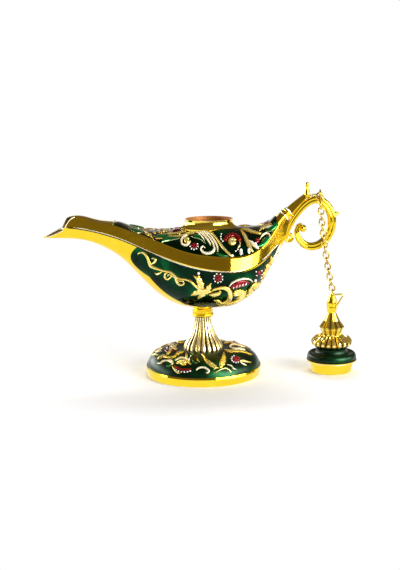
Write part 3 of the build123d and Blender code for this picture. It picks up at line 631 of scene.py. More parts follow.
def leaf(base, tip, width, bow=0.0, notches=0, rise=0.6, crease=0.45):
    """Leaf from base to tip. Its middle line bows to one side as a half sine, its width is a
    half sine that is fullest before the middle, and its edge is notched."""
    base, tip = np.asarray(base, float), np.asarray(tip, float)
    along = np.linspace(0, 1, LEAF_KNOTS)[:, None]
    run = tip - base
    side = np.array([-run[1], run[0]])
    line = base + run * along + side * bow * np.sin(np.pi * along)
    wide = width * np.sin(np.pi * along[:, 0] ** LEAF_POWER) ** LEAF_POWER
    grid, height = trail(np.column_stack([line, wide]), rise, LEAF_STEPS, crease=crease)
    if notches:
        wave = np.abs(np.sin(np.pi * notches * np.linspace(0, 1, LEAF_STEPS)))
        bite = 1 - NOTCH_DEPTH * wave**3
        middle = grid[:, grid.shape[1] // 2][:, None]
        grid = middle + (grid - middle) * bite[:, None, None]
    return grid, height


def leaves(rows, **form):
    """Leaves from rows of base, tip, width, bow and notches."""
    return [leaf(*row, **form) for row in rows]


def fan(centre, radius, start, end, lobes, rise, inner=0.0, squash=1.0):
    """Fan round a centre between two angles in degrees, anticlockwise from the right: its rim
    is lobed as a sine, and each lobe is the root of a half sine from the middle to the rim."""
    count = lobes * LOBE_STEPS + 1
    angle = np.radians(np.linspace(start, end, count))
    wave = np.abs(np.sin(np.pi * lobes * np.linspace(0, 1, count)))
    out = np.linspace(0, 1, FAN_ROWS)
    rim = (1 - LOBE_DEPTH) + LOBE_DEPTH * wave[:, None]
    reach = inner + (1 - inner) * out[None] * rim
    across = centre[0] + radius * reach * np.cos(angle)[:, None]
    down = centre[1] - radius * squash * reach * np.sin(angle)[:, None]
    arch = np.maximum(np.sin(np.pi * out**FAN_POWER), 0.0) ** 0.5
    swell = (1 - LOBE_DISH) + LOBE_DISH * wave[:, None] ** LOBE_POWER
    return np.stack([across, down], axis=-1), rise * swell * arch[None]


def button(centre, radius, squash, rise, count=20, rows=6):
    """Round boss: a half circle of height over a disc."""
    angle = np.linspace(0, 2 * np.pi, count)
    out = np.sin(np.linspace(0, np.pi / 2, rows))
    across = centre[0] + radius * out[None] * np.cos(angle)[:, None]
    down = centre[1] + radius * squash * out[None] * np.sin(angle)[:, None]
    height = rise * np.sqrt(np.maximum(1 - out**2, 0.0))[None] * np.ones((count, 1))
    return np.stack([across, down], axis=-1), height


def settle(node, stroke):
    """Closed skin of one stroke on a node: the top stands out along the normal, its border
    and the base lie sunk in the node."""
    grid, height = stroke
    place, slope = land(grid, node)
    base = place + slope * SUNK
    top = place + slope * height[..., None]
    top[0], top[-1], top[:, 0], top[:, -1] = base[0], base[-1], base[:, 0], base[:, -1]
    share = height / max(height.max(), LEAST)
    points, faces, inner = cushion(top, base)
    return points, faces, np.concatenate([share.reshape(-1), np.zeros(inner)])


def emboss(name, node, strokes, material):
    """Relief piece from strokes on one node, copied to the far side of the lamp."""
    make(name, [settle(node, stroke) for stroke in strokes], material, both=True)


# Balls: points from pole to pole and round, and the share of the width that is sunk
BALL_ROWS = 6
BALL_COLUMNS = 10
BALL_SUNK = 0.25


def beads(name, node, spots, material, both=True, sunk=BALL_SUNK):
    """Small balls on a node at (across, down, radius in millimetres), sunk by a share of
    their width."""
    spots = np.asarray(spots, dtype=float)
    place, slope = land(spots[:, :2], node)
    lean = np.linspace(0, np.pi, BALL_ROWS)
    turn = np.linspace(0, 2 * np.pi, BALL_COLUMNS)
    ball = np.stack([
        np.sin(lean)[:, None] * np.cos(turn),
        np.sin(lean)[:, None] * np.sin(turn),
        np.cos(lean)[:, None] * np.ones(BALL_COLUMNS),
    ], axis=-1)
    faces = grid_quads(BALL_ROWS, BALL_COLUMNS)
    shells = []
    for centre, normal, radius in zip(place, slope, spots[:, 2]):
        middle = centre + normal * radius * (1 - 2 * sunk)
        shells.append((middle + radius * ball.reshape(-1, 3), faces))
    make(name, shells, material, both=both)


# Relief of the hull's side panel: lines of (across, down, width) in the photograph's pixels

PANEL_VINE = (
    (138.0, 255.0, 0.6), (139.0, 253.2, 1.4), (141.6, 252.4, 1.8), (144.3, 253.2, 2.8),
    (146.6, 256.2, 2.4), (148.6, 260.6, 2.6), (150.6, 265.6, 3.2), (154.0, 267.6, 2.8),
    (159.3, 269.4, 2.4), (164.6, 270.9, 2.4), (170.0, 272.0, 2.4), (173.6, 274.4, 2.4),
    (177.1, 277.6, 2.4), (180.7, 278.8, 2.0), (185.2, 279.3, 2.0), (190.5, 281.2, 2.2),
    (195.0, 285.4, 2.4), (200.4, 289.2, 2.8), (206.0, 290.6, 1.0),
)
PANEL_HOOK = (
    (151.2, 264.2, 1.0), (154.4, 262.6, 2.2), (155.8, 260.0, 2.0), (154.2, 258.4, 2.0),
    (151.8, 258.6, 1.0),
)
PANEL_LOWER_VINE = (
    (155.2, 272.6, 0.8), (157.4, 274.0, 2.2), (160.2, 273.0, 2.0), (163.0, 271.2, 1.0),
)
PANEL_LOOP = (
    (168.6, 272.4, 0.8), (165.6, 274.0, 2.0), (165.0, 277.0, 2.0), (167.6, 279.2, 2.0),
    (170.6, 277.8, 1.8), (172.6, 275.6, 2.0), (175.6, 277.6, 2.4), (176.8, 281.6, 2.4),
    (179.8, 284.4, 2.4), (183.2, 284.6, 2.0), (184.8, 282.4, 0.9),
)
PANEL_STEM = ((176.6, 279.0, 0.8), (179.4, 280.6, 1.6), (182.6, 280.8, 1.6), (184.2, 282.6, 0.8))
PANEL_LOOP_INNER = (
    (167.6, 276.6, 0.6), (169.0, 274.6, 1.5), (171.2, 274.8, 1.2), (172.0, 276.4, 0.8),
)
PANEL_SCROLL = (
    (211.0, 291.6, 1.0), (214.0, 289.6, 2.4), (218.6, 288.2, 3.0), (223.6, 287.8, 3.8),
    (228.4, 290.0, 4.8), (230.2, 294.6, 5.2), (229.2, 299.4, 4.6), (225.8, 302.8, 3.6),
    (221.0, 303.8, 3.4), (217.4, 302.0, 2.8), (218.6, 299.8, 0.9),
)
PANEL_SCROLL_END = (
    (209.0, 294.4, 0.8), (213.6, 294.6, 4.0), (218.0, 293.6, 3.8), (220.6, 291.6, 1.6),
    (218.8, 290.6, 0.8),
)
PANEL_LOW_SCROLL = (
    (224.4, 305.2, 0.8), (231.0, 303.4, 2.4), (238.0, 300.4, 2.6), (244.6, 296.8, 0.9),
)
PANEL_EDGE_TRAIL = (
    (280.4, 243.6, 0.6), (278.6, 249.0, 2.2), (276.2, 255.0, 2.6), (273.4, 260.8, 2.8),
    (270.6, 267.0, 3.0), (267.0, 272.8, 3.0), (263.6, 278.4, 2.8), (261.2, 283.4, 1.0),
)
# Leaves: base, tip, width, bow and notches
PANEL_LEAVES = (
    ((203.8, 290.0), (198.4, 274.6), 7.6, -0.08, 3),
    ((200.4, 284.6), (192.8, 275.0), 3.0, 0.10, 0),
    ((212.0, 292.0), (190.2, 295.6), 7.6, 0.10, 4),
    ((208.4, 292.4), (211.4, 283.0), 5.8, -0.10, 2),
    ((207.0, 293.4), (197.4, 299.2), 4.4, 0.12, 0),
    ((236.0, 299.0), (246.6, 289.8), 4.4, 0.12, 3),
    ((244.4, 299.6), (252.6, 284.8), 5.2, 0.10, 4),
    ((247.4, 296.0), (256.8, 281.6), 3.4, -0.06, 3),
    ((262.0, 279.6), (265.4, 268.4), 4.2, 0.10, 2),
    ((266.6, 271.0), (270.8, 261.2), 4.0, -0.10, 2),
    ((270.0, 264.6), (270.4, 255.6), 3.2, 0.16, 0),
    ((276.0, 256.8), (277.4, 249.2), 2.0, 0.16, 0),
    ((222.4, 304.4), (213.4, 300.2), 2.6, 0.14, 0),
)
PANEL_FAN_CENTRE = (239.6, 294.0)
PANEL_ROSETTE = (257.2, 287.0)
PANEL_RED_FAN = (
    (230.2, 288.8, 0.8), (233.6, 286.4, 5.2), (239.0, 284.4, 6.8), (244.6, 283.0, 6.2),
    (250.0, 282.6, 0.8),
)
PANEL_RED_RIM = (
    (228.8, 287.4, 0.6), (231.6, 283.2, 1.8), (237.6, 280.0, 2.0), (244.0, 278.6, 2.0),
    (249.6, 279.4, 1.8), (252.6, 282.2, 0.8),
)
PANEL_RED_DASHES = ((233.4, 287.2), (236.4, 286.0), (239.4, 285.0), (242.4, 284.2), (245.4, 283.4))
PANEL_FLOWER = (218.2, 278.0)
PANEL_DROP = (258.8, 272.8)
KEEL_BEAD_LINE = ((176.6, 299.4), (181.0, 300.9), (186.0, 302.9), (191.0, 304.9), (196.0, 306.5))

# Seam between the castings: a groove, dark with painted shade, with a bead along it whose pale
# gold is painted highlight
SEAM_LINE = (
    (66.0, 227.6), (78.3, 228.8), (94.8, 231.9), (110.2, 236.2), (120.0, 239.4), (130.0, 243.4),
    (137.9, 246.9), (155.7, 254.9), (173.6, 262.2), (191.4, 267.9), (209.3, 271.4), (227.1, 272.7),
    (240.0, 271.8), (251.8, 267.9), (263.4, 259.9), (271.4, 251.8), (278.6, 244.5),
)

# Relief of the deck
DECK_STEMS = (
    ((154.8, 239.0, 0.8), (162.0, 238.2, 1.6), (170.0, 237.2, 2.0), (180.0, 236.0, 2.2),
     (189.0, 233.9, 2.4), (197.4, 231.8, 1.0)),
    ((158.0, 235.0, 0.6), (168.0, 234.3, 1.6), (178.0, 233.0, 1.6), (186.0, 231.6, 0.8)),
    ((143.8, 230.6, 0.6), (147.6, 233.4, 1.4), (151.0, 236.8, 1.5), (154.2, 240.6, 0.7)),
    ((144.4, 233.4, 0.8), (147.2, 234.6, 2.2), (150.6, 234.8, 2.0), (152.0, 237.0, 0.8)),
    ((238.8, 240.4, 0.6), (240.0, 243.6, 1.7), (238.6, 247.0, 1.6), (236.8, 250.6, 0.6)),
)
DECK_GREEN_SCROLL = (
    (161.4, 242.8, 1.0), (164.4, 240.2, 3.8), (169.6, 238.9, 4.0), (176.0, 238.4, 2.4),
    (180.2, 238.2, 0.8),
)
DECK_GREEN_LEAVES = (
    ((170.6, 235.4), (152.8, 236.0), 4.4, -0.06, 0),
    ((143.0, 232.4), (127.6, 227.4), 3.8, -0.05, 0),
    ((114.0, 224.0), (106.8, 221.0), 3.2, 0.0, 0),
    ((191.0, 237.0), (205.4, 243.8), 4.6, -0.22, 0),
    ((268.6, 235.6), (257.2, 247.2), 6.4, -0.12, 0),
    ((277.4, 221.8), (265.6, 231.4), 6.0, -0.12, 0),
    ((216.0, 252.6), (229.0, 256.2), 3.4, 0.10, 0),
)
DECK_VOLUTE_RIM = (
    (187.6, 234.8, 0.8), (184.0, 236.8, 2.2), (181.6, 240.2, 2.4), (182.2, 243.8, 2.4),
    (185.4, 245.4, 2.2), (188.8, 243.9, 2.0), (190.6, 241.0, 0.8),
)
DECK_VOLUTE_BALL = (186.9, 240.4)
DECK_RIBS = (
    ((197.0, 232.6, 0.7), (199.8, 234.9, 1.5), (202.8, 238.4, 1.7), (204.6, 241.6, 0.7)),
    ((198.4, 232.0, 0.7), (202.2, 234.3, 1.7), (206.4, 238.6, 1.9), (209.6, 243.0, 1.8),
     (210.6, 246.2, 0.8)),
    ((200.0, 231.6, 0.7), (205.0, 233.9, 1.8), (209.6, 238.4, 2.0), (213.2, 244.0, 2.0),
     (214.0, 248.6, 0.9)),
    ((201.6, 231.2, 0.7), (207.9, 233.6, 1.9), (213.0, 239.0, 2.1), (217.0, 246.2, 2.1),
     (217.6, 252.0, 0.9)),
    ((203.2, 231.0, 0.8), (211.0, 233.3, 2.0), (217.0, 239.8, 2.4), (223.0, 248.2, 3.0),
     (229.6, 254.8, 2.4), (232.8, 257.4, 0.8)),
)
DECK_RIB_FOOT = (
    (214.2, 245.4, 0.8), (214.2, 249.8, 2.6), (211.2, 252.8, 3.0), (206.6, 253.6, 2.8),
    (202.4, 251.8, 2.6), (201.0, 248.6, 2.2), (203.2, 246.6, 1.6), (205.4, 248.4, 0.8),
)
DECK_FAN_CENTRE = (232.2, 241.4)
DECK_SPRAY = (
    ((240.0, 229.4, 0.8), (243.6, 234.4, 3.4), (247.0, 241.6, 4.2), (250.4, 248.4, 3.6),
     (253.0, 252.6, 0.8)),
    ((240.8, 229.0, 0.6), (246.4, 230.0, 2.8), (252.6, 232.0, 2.8), (258.8, 233.6, 2.0),
     (262.0, 233.4, 0.7)),
    ((258.8, 231.4, 0.6), (262.0, 228.4, 2.6), (266.6, 225.8, 2.8), (271.6, 223.4, 0.8)),
)
# Pale strokes of the spray: their cream is painted highlight
DECK_PALE_SPRAY = (
    ((248.0, 240.0, 0.6), (252.4, 243.6, 3.4), (256.4, 247.2, 3.2), (258.4, 249.4, 0.8)),
    ((259.4, 240.2, 0.6), (262.4, 235.8, 1.8), (267.0, 233.6, 1.8), (269.6, 236.4, 1.4),
     (268.0, 240.4, 0.6)),
    ((264.0, 228.6, 0.5), (269.0, 227.2, 1.4), (274.0, 225.6, 0.6)),
)
DECK_WHITE_DROPS = (
    ((241.0, 252.0), 1.7, 3.6), ((248.8, 250.9), 1.6, 3.2), ((231.8, 255.9), 2.0, 1.4),
    ((255.4, 244.2), 1.6, 1.4),
)
DECK_GEM = (194.0, 246.0)
DECK_SMALL_REDS = (
    ((176.6, 229.4), 4.2, 0.42), ((257.0, 240.8), 2.7, 0.95), ((265.6, 223.8), 3.6, 0.42),
)
DECK_GOLD_BITS = (
    ((165.7, 231.4), 2.6, 0.45), ((160.6, 232.6), 2.0, 0.45), ((170.6, 233.2), 2.2, 0.5),
    ((154.6, 232.8), 1.8, 0.5), ((179.0, 233.4), 2.0, 0.6),
)

# Relief of the foot
FOOT_TRAILS = (
    ((157.8, 359.6, 0.8), (160.2, 357.4, 3.0), (163.6, 356.0, 3.0), (167.4, 357.2, 2.4),
     (171.4, 357.4, 2.2), (175.0, 356.4, 2.0), (177.2, 354.4, 0.8)),
    ((157.0, 362.8, 0.7), (160.2, 363.4, 1.8), (163.4, 361.0, 2.0), (167.6, 360.6, 1.8),
     (170.8, 361.2, 3.6), (172.6, 363.4, 2.0), (171.0, 365.0, 0.8)),
    ((166.6, 354.6, 0.8), (169.2, 352.2, 2.6), (172.4, 348.8, 2.8), (175.6, 346.0, 2.2),
     (177.6, 344.6, 0.8)),
    ((175.0, 360.6, 0.7), (180.0, 358.0, 1.6), (185.0, 358.2, 1.8), (188.4, 359.8, 2.4),
     (189.6, 358.0, 0.8)),
    ((172.0, 366.2, 0.7), (174.6, 369.4, 2.0), (177.4, 372.4, 2.2), (180.4, 373.2, 0.8)),
    ((196.6, 370.8, 0.8), (197.6, 368.8, 1.8), (201.4, 367.4, 1.9), (205.7, 368.2, 2.0),
     (208.9, 370.9, 2.2), (207.0, 373.0, 1.4), (206.2, 372.0, 0.7)),
    ((213.4, 373.8, 0.6), (218.9, 370.6, 1.2), (224.1, 368.6, 1.4), (228.3, 369.5, 1.3),
     (231.3, 373.1, 0.6)),
    ((226.6, 364.4, 0.5), (231.3, 366.1, 1.1), (233.0, 368.4, 1.2), (236.5, 369.7, 0.6)),
    ((239.2, 361.4, 0.8), (242.4, 360.6, 2.4), (246.4, 361.6, 2.0), (251.0, 362.4, 0.8)),
    ((240.2, 362.4, 0.6), (243.4, 364.2, 1.3), (246.2, 365.6, 0.6)),
    ((224.6, 349.4, 0.7), (229.0, 351.2, 2.6), (235.0, 350.8, 2.4), (243.6, 351.6, 1.6),
     (252.4, 355.0, 0.7)),
    ((229.4, 346.4, 0.6), (234.2, 348.8, 1.8), (240.2, 348.6, 1.6), (245.4, 350.0, 0.7)),
    ((152.6, 355.8, 0.4), (155.4, 354.6, 0.9), (158.4, 355.4, 0.4)),
    ((155.4, 352.6, 0.4), (158.6, 351.6, 0.9), (161.6, 350.8, 0.4)),
)
FOOT_LEAVES = (
    ((175.0, 355.0), (184.4, 351.7), 3.2, -0.06, 3),
    ((186.8, 358.8), (186.2, 352.6), 2.6, 0.0, 0),
    ((187.6, 360.6), (191.4, 365.0), 2.6, 0.08, 0),
    ((218.6, 368.8), (202.8, 357.0), 5.0, -0.05, 5),
    ((218.8, 368.8), (223.6, 351.4), 6.6, 0.12, 6),
    ((205.4, 359.6), (200.6, 353.6), 1.8, 0.10, 0),
    ((216.0, 366.4), (213.6, 370.4), 1.4, 0.0, 0),
    ((199.6, 362.4), (197.0, 357.6), 1.2, -0.15, 0),
)
FOOT_GREEN_LEAVES = (
    ((190.0, 356.4), (193.0, 350.4), 2.6, 0.05, 0),
    ((197.4, 363.2), (191.6, 358.6), 1.5, -0.2, 0),
    ((166.4, 366.2), (170.4, 365.2), 1.6, 0.1, 0),
)
FOOT_SHELL = (183.4, 363.8)
FOOT_RED_ARC = (
    (174.4, 365.4, 0.8), (177.6, 368.2, 2.4), (182.4, 369.8, 2.6), (187.6, 369.8, 2.4),
    (192.0, 368.6, 0.8),
)
FOOT_RED_BEADS = (
    (176.0, 369.8), (178.6, 371.2), (181.4, 371.9), (184.4, 372.1), (187.4, 371.8), (190.2, 371.0),
)
FOOT_FAR_RED = ((165.0, 347.6, 0.7), (168.4, 346.0, 2.2), (172.6, 345.0, 2.2), (175.4, 344.2, 0.7))
FOOT_ROSE = (236.2, 359.2)
FOOT_ROSE_SQUASH = 0.72

# Pearls and beads of the relief, each with its radius in millimetres
PANEL_PEARLS = (
    (254.8, 280.4, 0.8), (255.8, 271.8, 0.4), (256.4, 275.4, 0.4), (261.4, 270.6, 0.4),
    (261.6, 274.6, 0.4), (198.8, 273.2, 0.7), (260.8, 277.6, 0.45), (262.0, 281.0, 0.4),
)
DECK_PEARLS = (
    (221.2, 234.4, 0.42), (220.6, 236.9, 0.42), (221.0, 239.3, 0.42), (222.6, 241.4, 0.42),
    (238.9, 246.8, 0.55), (237.6, 249.6, 0.45), (235.6, 251.2, 0.4),
)
FOOT_FAR_BEADS = ((167.0, 347.8, 0.4), (170.0, 346.6, 0.4), (173.4, 345.6, 0.4))
HANDLE_KNOTS = ((309.9, 195.2, 0.8), (312.2, 192.9, 0.9), (314.6, 191.4, 0.8))
HANDLE_KNOTS_SUNK = 0.35
PEARL_RADIUS = 0.42
KEEL_BEADS = 15
KEEL_BEAD_RADIUS = 0.5
# Half of a dash's run in the picture, and its width
DASH_ACROSS = 0.9
DASH_DOWN = 1.7
DASH_WIDTH = 1.3
# Blossom: its petals' number, points round and out, first turn, and place and size as shares of
# the radius, the size of its heart and the place of its pearls
PETALS = 5
PETAL_POINTS = 14
PETAL_ROWS = 5
PETAL_TURN = 0.3
PETAL_PLACE = 0.52
PETAL_SIZE = 0.5
HEART_SIZE = 0.42
PEARL_PLACE = 1.12


def around(centre, radius, start, end, count, squash, size):
    """Places on an arc in the picture, each with a ball's radius in millimetres."""
    angle = np.radians(np.linspace(start, end, count))
    return np.column_stack([
        centre[0] + radius * np.cos(angle),
        centre[1] - radius * squash * np.sin(angle),
        np.full(count, size),
    ])


def blossom(name, node, centre, radius, squash, pearls, start, end):
    """Red flower of petals round a heart, with pearls along part of its edge."""
    strokes = []
    grain = {"count": PETAL_POINTS, "rows": PETAL_ROWS}
    for turn in np.linspace(0, 2 * np.pi, PETALS, endpoint=False) + PETAL_TURN:
        away = PETAL_PLACE * radius
        spot = (centre[0] + away * math.cos(turn), centre[1] - away * squash * math.sin(turn))
        strokes.append(button(spot, radius * PETAL_SIZE, squash, rise=0.75, **grain))
    strokes.append(button(centre, radius * HEART_SIZE, squash, rise=1.1, **grain))
    emboss(name, node, strokes, red)
    ring = around(centre, radius * PEARL_PLACE, start, end, pearls, squash, PEARL_RADIUS)
    beads(name + "_pearls", node, ring, pearl)


def hull_relief():
    """Vine, leaves, scroll, fans and flowers on the hull's side panels."""
    node = "hull_enamel_front"
    lines = (PANEL_HOOK, PANEL_LOWER_VINE, PANEL_LOOP, PANEL_STEM, PANEL_LOOP_INNER)
    vines = [trail(PANEL_VINE, rise=0.75, count=110), *trails(lines, rise=0.75, count=50)]
    emboss("panel_vine", node, vines, relief_gold)
    scrolls = (PANEL_SCROLL, PANEL_SCROLL_END, PANEL_LOW_SCROLL)
    emboss("panel_scroll", node, trails(scrolls, rise=0.95, crease=0.3), relief_gold)
    edge = trail(PANEL_EDGE_TRAIL, rise=0.7, crease=0.4)
    emboss("panel_edge_trail", node, [edge], pale_gold)
    emboss("panel_leaves", node, leaves(PANEL_LEAVES, rise=0.9), relief_gold)
    emboss("panel_shell", node, [
        fan(PANEL_FAN_CENTRE, radius=7.4, start=25, end=205, lobes=7, rise=1.0, squash=0.72),
        button(PANEL_FAN_CENTRE, radius=2.6, squash=0.8, rise=1.2),
    ], relief_gold)
    emboss("panel_rosette", node, [
        fan(PANEL_ROSETTE, radius=4.6, start=0, end=360, lobes=8, rise=0.9, squash=1.15),
        button(PANEL_ROSETTE, radius=1.8, squash=1.1, rise=1.3),
    ], relief_gold)
    emboss("panel_red_fan", node, [trail(PANEL_RED_FAN, rise=0.7)], red)
    emboss("panel_red_rim", node, [trail(PANEL_RED_RIM, rise=0.85)], pale_gold)
    dashes = [
        leaf(
            (across - DASH_ACROSS, down + DASH_DOWN), (across + DASH_ACROSS, down - DASH_DOWN),
            DASH_WIDTH, rise=1.0,
        )
        for across, down in PANEL_RED_DASHES
    ]
    emboss("panel_red_dashes", node, dashes, pearl)
    drop = button(PANEL_DROP, radius=2.0, squash=1.35, rise=1.0)
    emboss("panel_drop", node, [drop], red)
    beads("panel_fan_beads", node, PANEL_PEARLS, pearl)
    blossom(
        "panel_flower", node, PANEL_FLOWER, radius=3.9, squash=1.0, pearls=9, start=-250, end=60
    )
    line = through(KEEL_BEAD_LINE, KEEL_BEADS)
    spots = np.column_stack([line, np.full(KEEL_BEADS, KEEL_BEAD_RADIUS)])
    beads("keel_beads", "hull_shell", spots, relief_gold)


def deck_relief():
    """Palmette, curls, fans and lobes on the deck's dome."""
    node = "deck_enamel"
    emboss("deck_stems", node, trails(DECK_STEMS, rise=0.6, count=60), relief_gold)
    emboss("deck_volute", node, [trail(DECK_VOLUTE_RIM, rise=0.9, count=50)], pale_gold)
    ball = button(DECK_VOLUTE_BALL, radius=2.9, squash=1.25, rise=1.3)
    emboss("deck_volute_ball", node, [ball], relief_gold)
    ribs = trails(DECK_RIBS, rise=1.1, count=50, columns=11)
    emboss("deck_palmette", node, ribs[:-1], pale_gold)
    emboss("deck_palmette_outer", node, ribs[-1:], relief_gold)
    emboss("deck_palmette_foot", node, [trail(DECK_RIB_FOOT, rise=1.0, count=60)], pale_gold)
    emboss("deck_spray", node, trails(DECK_SPRAY, rise=0.9, crease=0.3), relief_gold)
    emboss("deck_pale_spray", node, trails(DECK_PALE_SPRAY, rise=1.0), pale_gold)
    emboss("deck_green_scroll", node, [trail(DECK_GREEN_SCROLL, rise=1.0)], rimmed_green)
    lobes = leaves(DECK_GREEN_LEAVES, rise=0.9, crease=0.0)
    emboss("deck_green_leaves", node, lobes, rimmed_green)
    bits = [button(*bit, rise=0.7) for bit in DECK_GOLD_BITS]
    emboss("deck_gold_bits", node, bits, relief_gold)
    shell = fan(
        DECK_FAN_CENTRE, radius=9.8, start=0, end=180, lobes=7, rise=1.0, inner=0.5, squash=0.88
    )
    emboss("deck_fan", node, [shell], red)
    heart = button(DECK_FAN_CENTRE, radius=4.6, squash=0.9, rise=1.1)
    emboss("deck_fan_heart", node, [heart], relief_gold)
    beads("deck_fan_pearls", node, DECK_PEARLS, pearl)
    drops = [button(spot, wide, tall / wide, rise=0.9) for spot, wide, tall in DECK_WHITE_DROPS]
    emboss("deck_white_drops", node, drops, pearl)
    emboss("deck_reds", node, [button(*bit, rise=0.9) for bit in DECK_SMALL_REDS], red)
    blossom("deck_gem", node, DECK_GEM, radius=3.5, squash=0.95, pearls=6, start=-170, end=30)


def foot_relief():
    """Vines, winged leaves, shells and roses on the foot's dome."""
    node = "foot_enamel"
    emboss("foot_trails", node, trails(FOOT_TRAILS[::2], rise=0.6), relief_gold)
    emboss("foot_pale_trails", node, trails(FOOT_TRAILS[1::2], rise=0.6), pale_gold)
    emboss("foot_leaves", node, leaves(FOOT_LEAVES, rise=0.75), relief_gold)
    greens = leaves(FOOT_GREEN_LEAVES, rise=0.6, crease=0.2)
    emboss("foot_green_leaves", node, greens, rimmed_green)
    emboss("foot_shell", node, [
        fan(FOOT_SHELL, radius=7.4, start=10, end=190, lobes=6, rise=0.8, squash=0.62),
        button(FOOT_SHELL, radius=3.4, squash=0.6, rise=1.1),
    ], relief_gold)
    arcs = [trail(FOOT_RED_ARC, rise=0.6), trail(FOOT_FAR_RED, rise=0.5)]
    emboss("foot_red_arc", node, arcs, red)
    spots = [(across, down, PEARL_RADIUS) for across, down in FOOT_RED_BEADS]
    beads("foot_red_beads", node, [*spots, *FOOT_FAR_BEADS], pearl)
    blossom(
        "foot_rose", node, FOOT_ROSE, radius=4.4, squash=FOOT_ROSE_SQUASH, pearls=8,
        start=120, end=320,
    )


# Wires: the seam, the arrises of the lips, the arcs round the tongue and the lid's lip

WIRE_SIDES = 8
# Meetings with the node whose mean is the middle of a wire
WIRE_MEAN = 5


def tube(middle, side, up, radius):
    """Closed skin of a round wire: a ring at each station, spanned by two unit vectors."""
    turn = np.linspace(0, 2 * np.pi, WIRE_SIDES + 1)
    grid = middle[:, None] + radius[:, None, None] * (
        side[:, None] * np.cos(turn)[:, None] + up[:, None] * np.sin(turn)[:, None]
    )
    return grid.reshape(-1, 3), grid_quads(len(middle), WIRE_SIDES + 1)


def wire(node, line, radius, count):
    """Round wire on a node along a line of the picture: its middle is the mean of neighbouring
    meetings with the node, and its ends run out to nothing."""
    place, slope = land(through(line, count), node)
    share = np.full(WIRE_MEAN, 1 / WIRE_MEAN)
    place = np.stack([
        np.convolve(np.pad(place[:, k], WIRE_MEAN // 2, mode="edge"), share, "valid")
        for k in range(3)
    ], axis=-1)
    step = unit(np.gradient(place, axis=0))
    side = unit(np.cross(step, slope))
    size = np.full(count, radius)
    size[0] = size[-1] = 0.0
    return tube(place, side, np.cross(side, step), size)


def piping(name, node, line, radius, material, count=160):
    """Piece of one wire, copied to the far side of the lamp."""
    make(name, [wire(node, line, radius, count)], material, both=True)


GROOVE_RADIUS = 0.40
SEAM_BEAD_RADIUS = 0.32
# Bead of the seam over its groove, in pixels
SEAM_BEAD_OFFSET = np.array([0.0, -0.55])


def seam():
    """Groove along the seam of the two castings, dark with painted shade, and the bright bead in
    it, whose pale gold is painted highlight.
    """
    line = np.array(SEAM_LINE)
    piping("seam_groove", "hull_shell", line, GROOVE_RADIUS, groove_shade)
    piping("seam_bead", "hull_shell", line + SEAM_BEAD_OFFSET, SEAM_BEAD_RADIUS, pale_gold)


# Mouth of the spout: the turned facets of both lips, whose dark gold is a painted dark reflection,
# and the pale arrises beside them, whose pale gold is painted highlight
LOWER_LIP_FACET = ((46.6, 236.6, 0.8), (51.6, 234.4, 2.2), (57.6, 231.6, 2.8), (62.6, 229.6, 1.0))
LOWER_LIP_EDGE = ((45.6, 237.4), (51.0, 236.0), (57.0, 233.6), (63.4, 230.4))
UPPER_LIP_FACET = ((63.8, 228.2, 0.8), (65.4, 224.6, 2.2), (67.6, 220.6, 2.6), (71.0, 217.4, 0.8))
UPPER_LIP_EDGE = ((64.8, 228.0), (67.0, 223.8), (69.8, 219.9), (74.6, 217.0))
LIP_EDGE_RADIUS = 0.24
LIP_KNOTS = ((62.6, 228.6, 0.5), (65.0, 227.8, 0.45))


def spout_mouth():
    """Darker facets, a painted dark reflection, pale arrises, a painted highlight, and small knots
    at the corner of the lips.
    """
    emboss("lower_lip_facet", "hull_shell", [trail(LOWER_LIP_FACET, rise=0.12)], shade_gold)
    emboss("upper_lip_facet", "deck_shell", [trail(UPPER_LIP_FACET, rise=0.12)], shade_gold)
    for name, node, line in (
        ("lower_lip_edge", "hull_shell", LOWER_LIP_EDGE),
        ("upper_lip_edge", "deck_shell", UPPER_LIP_EDGE),
    ):
        piping(name, node, line, LIP_EDGE_RADIUS, pale_gold, count=60)
    beads("lip_knots", "hull_shell", LIP_KNOTS, pale_gold)


# Tongue that ends the band under the handle, its darker gold a painted dark reflection, and the
# two pale arcs round it, whose pale gold is painted highlight
TONGUE = (
    (262.6, 249.4, 0.8), (267.0, 242.8, 6.0), (271.4, 235.4, 8.6), (276.4, 227.0, 9.8),
    (281.2, 218.6, 9.6), (284.4, 213.4, 7.4), (286.0, 211.2, 0.8),
)
DECK_ARC = ((279.6, 213.6), (283.2, 210.9), (286.6, 212.1), (288.6, 215.7), (288.4, 219.3))
ARM_ARC = ((285.6, 208.6), (288.0, 209.8), (290.0, 212.2), (291.0, 214.6))
TONGUE_ARCS = (("deck_shell", DECK_ARC), ("handle_arm", ARM_ARC))
TONGUE_ARC_RADIUS = 0.38


def tongue():
    """Dull plate on the band's tail, its darker gold a painted dark reflection, and the pale arcs
    at its end, whose pale gold is painted highlight.
    """
    plate = trail(TONGUE, rise=0.4, count=60, columns=13, full=0.35)
    emboss("band_tongue", "deck_shell", [plate], tongue_gold)
    for place, (node, line) in enumerate(TONGUE_ARCS):
        piping(f"tongue_arc_{place + 1}", node, line, TONGUE_ARC_RADIUS, pale_gold, count=60)


# Wavy lip between the lid's saucer and its plug
LIP_RADIUS = 0.32
LIP_WAVE = 0.16
LIP_WAVES = 7
LIP_STEPS = 140


def lid_lip():
    """Pale ring round the widest edge of the lid's plug: it rises and falls as a cosine."""
    places = skin("lid_plug")[0]
    middle = axis_of("lid_plug") / METRES
    out = np.linalg.norm(places[:, :2] - middle, axis=1)
    edge = places[out.argmax()]
    turn = np.linspace(0, 2 * np.pi, LIP_STEPS + 1)
    way = np.stack([np.cos(turn), np.sin(turn), 0 * turn], axis=-1)
    path = np.array([*middle, edge[2]]) + (out.max() - LIP_RADIUS) * way
    path[:, 2] += LIP_WAVE * np.cos(LIP_WAVES * turn)
    up = np.array([[0.0, 0.0, 1.0]])
    ring = tube(path, way, up, np.full(LIP_STEPS + 1, LIP_RADIUS))
    make("lid_lip", [ring], pale_gold, body="lid")


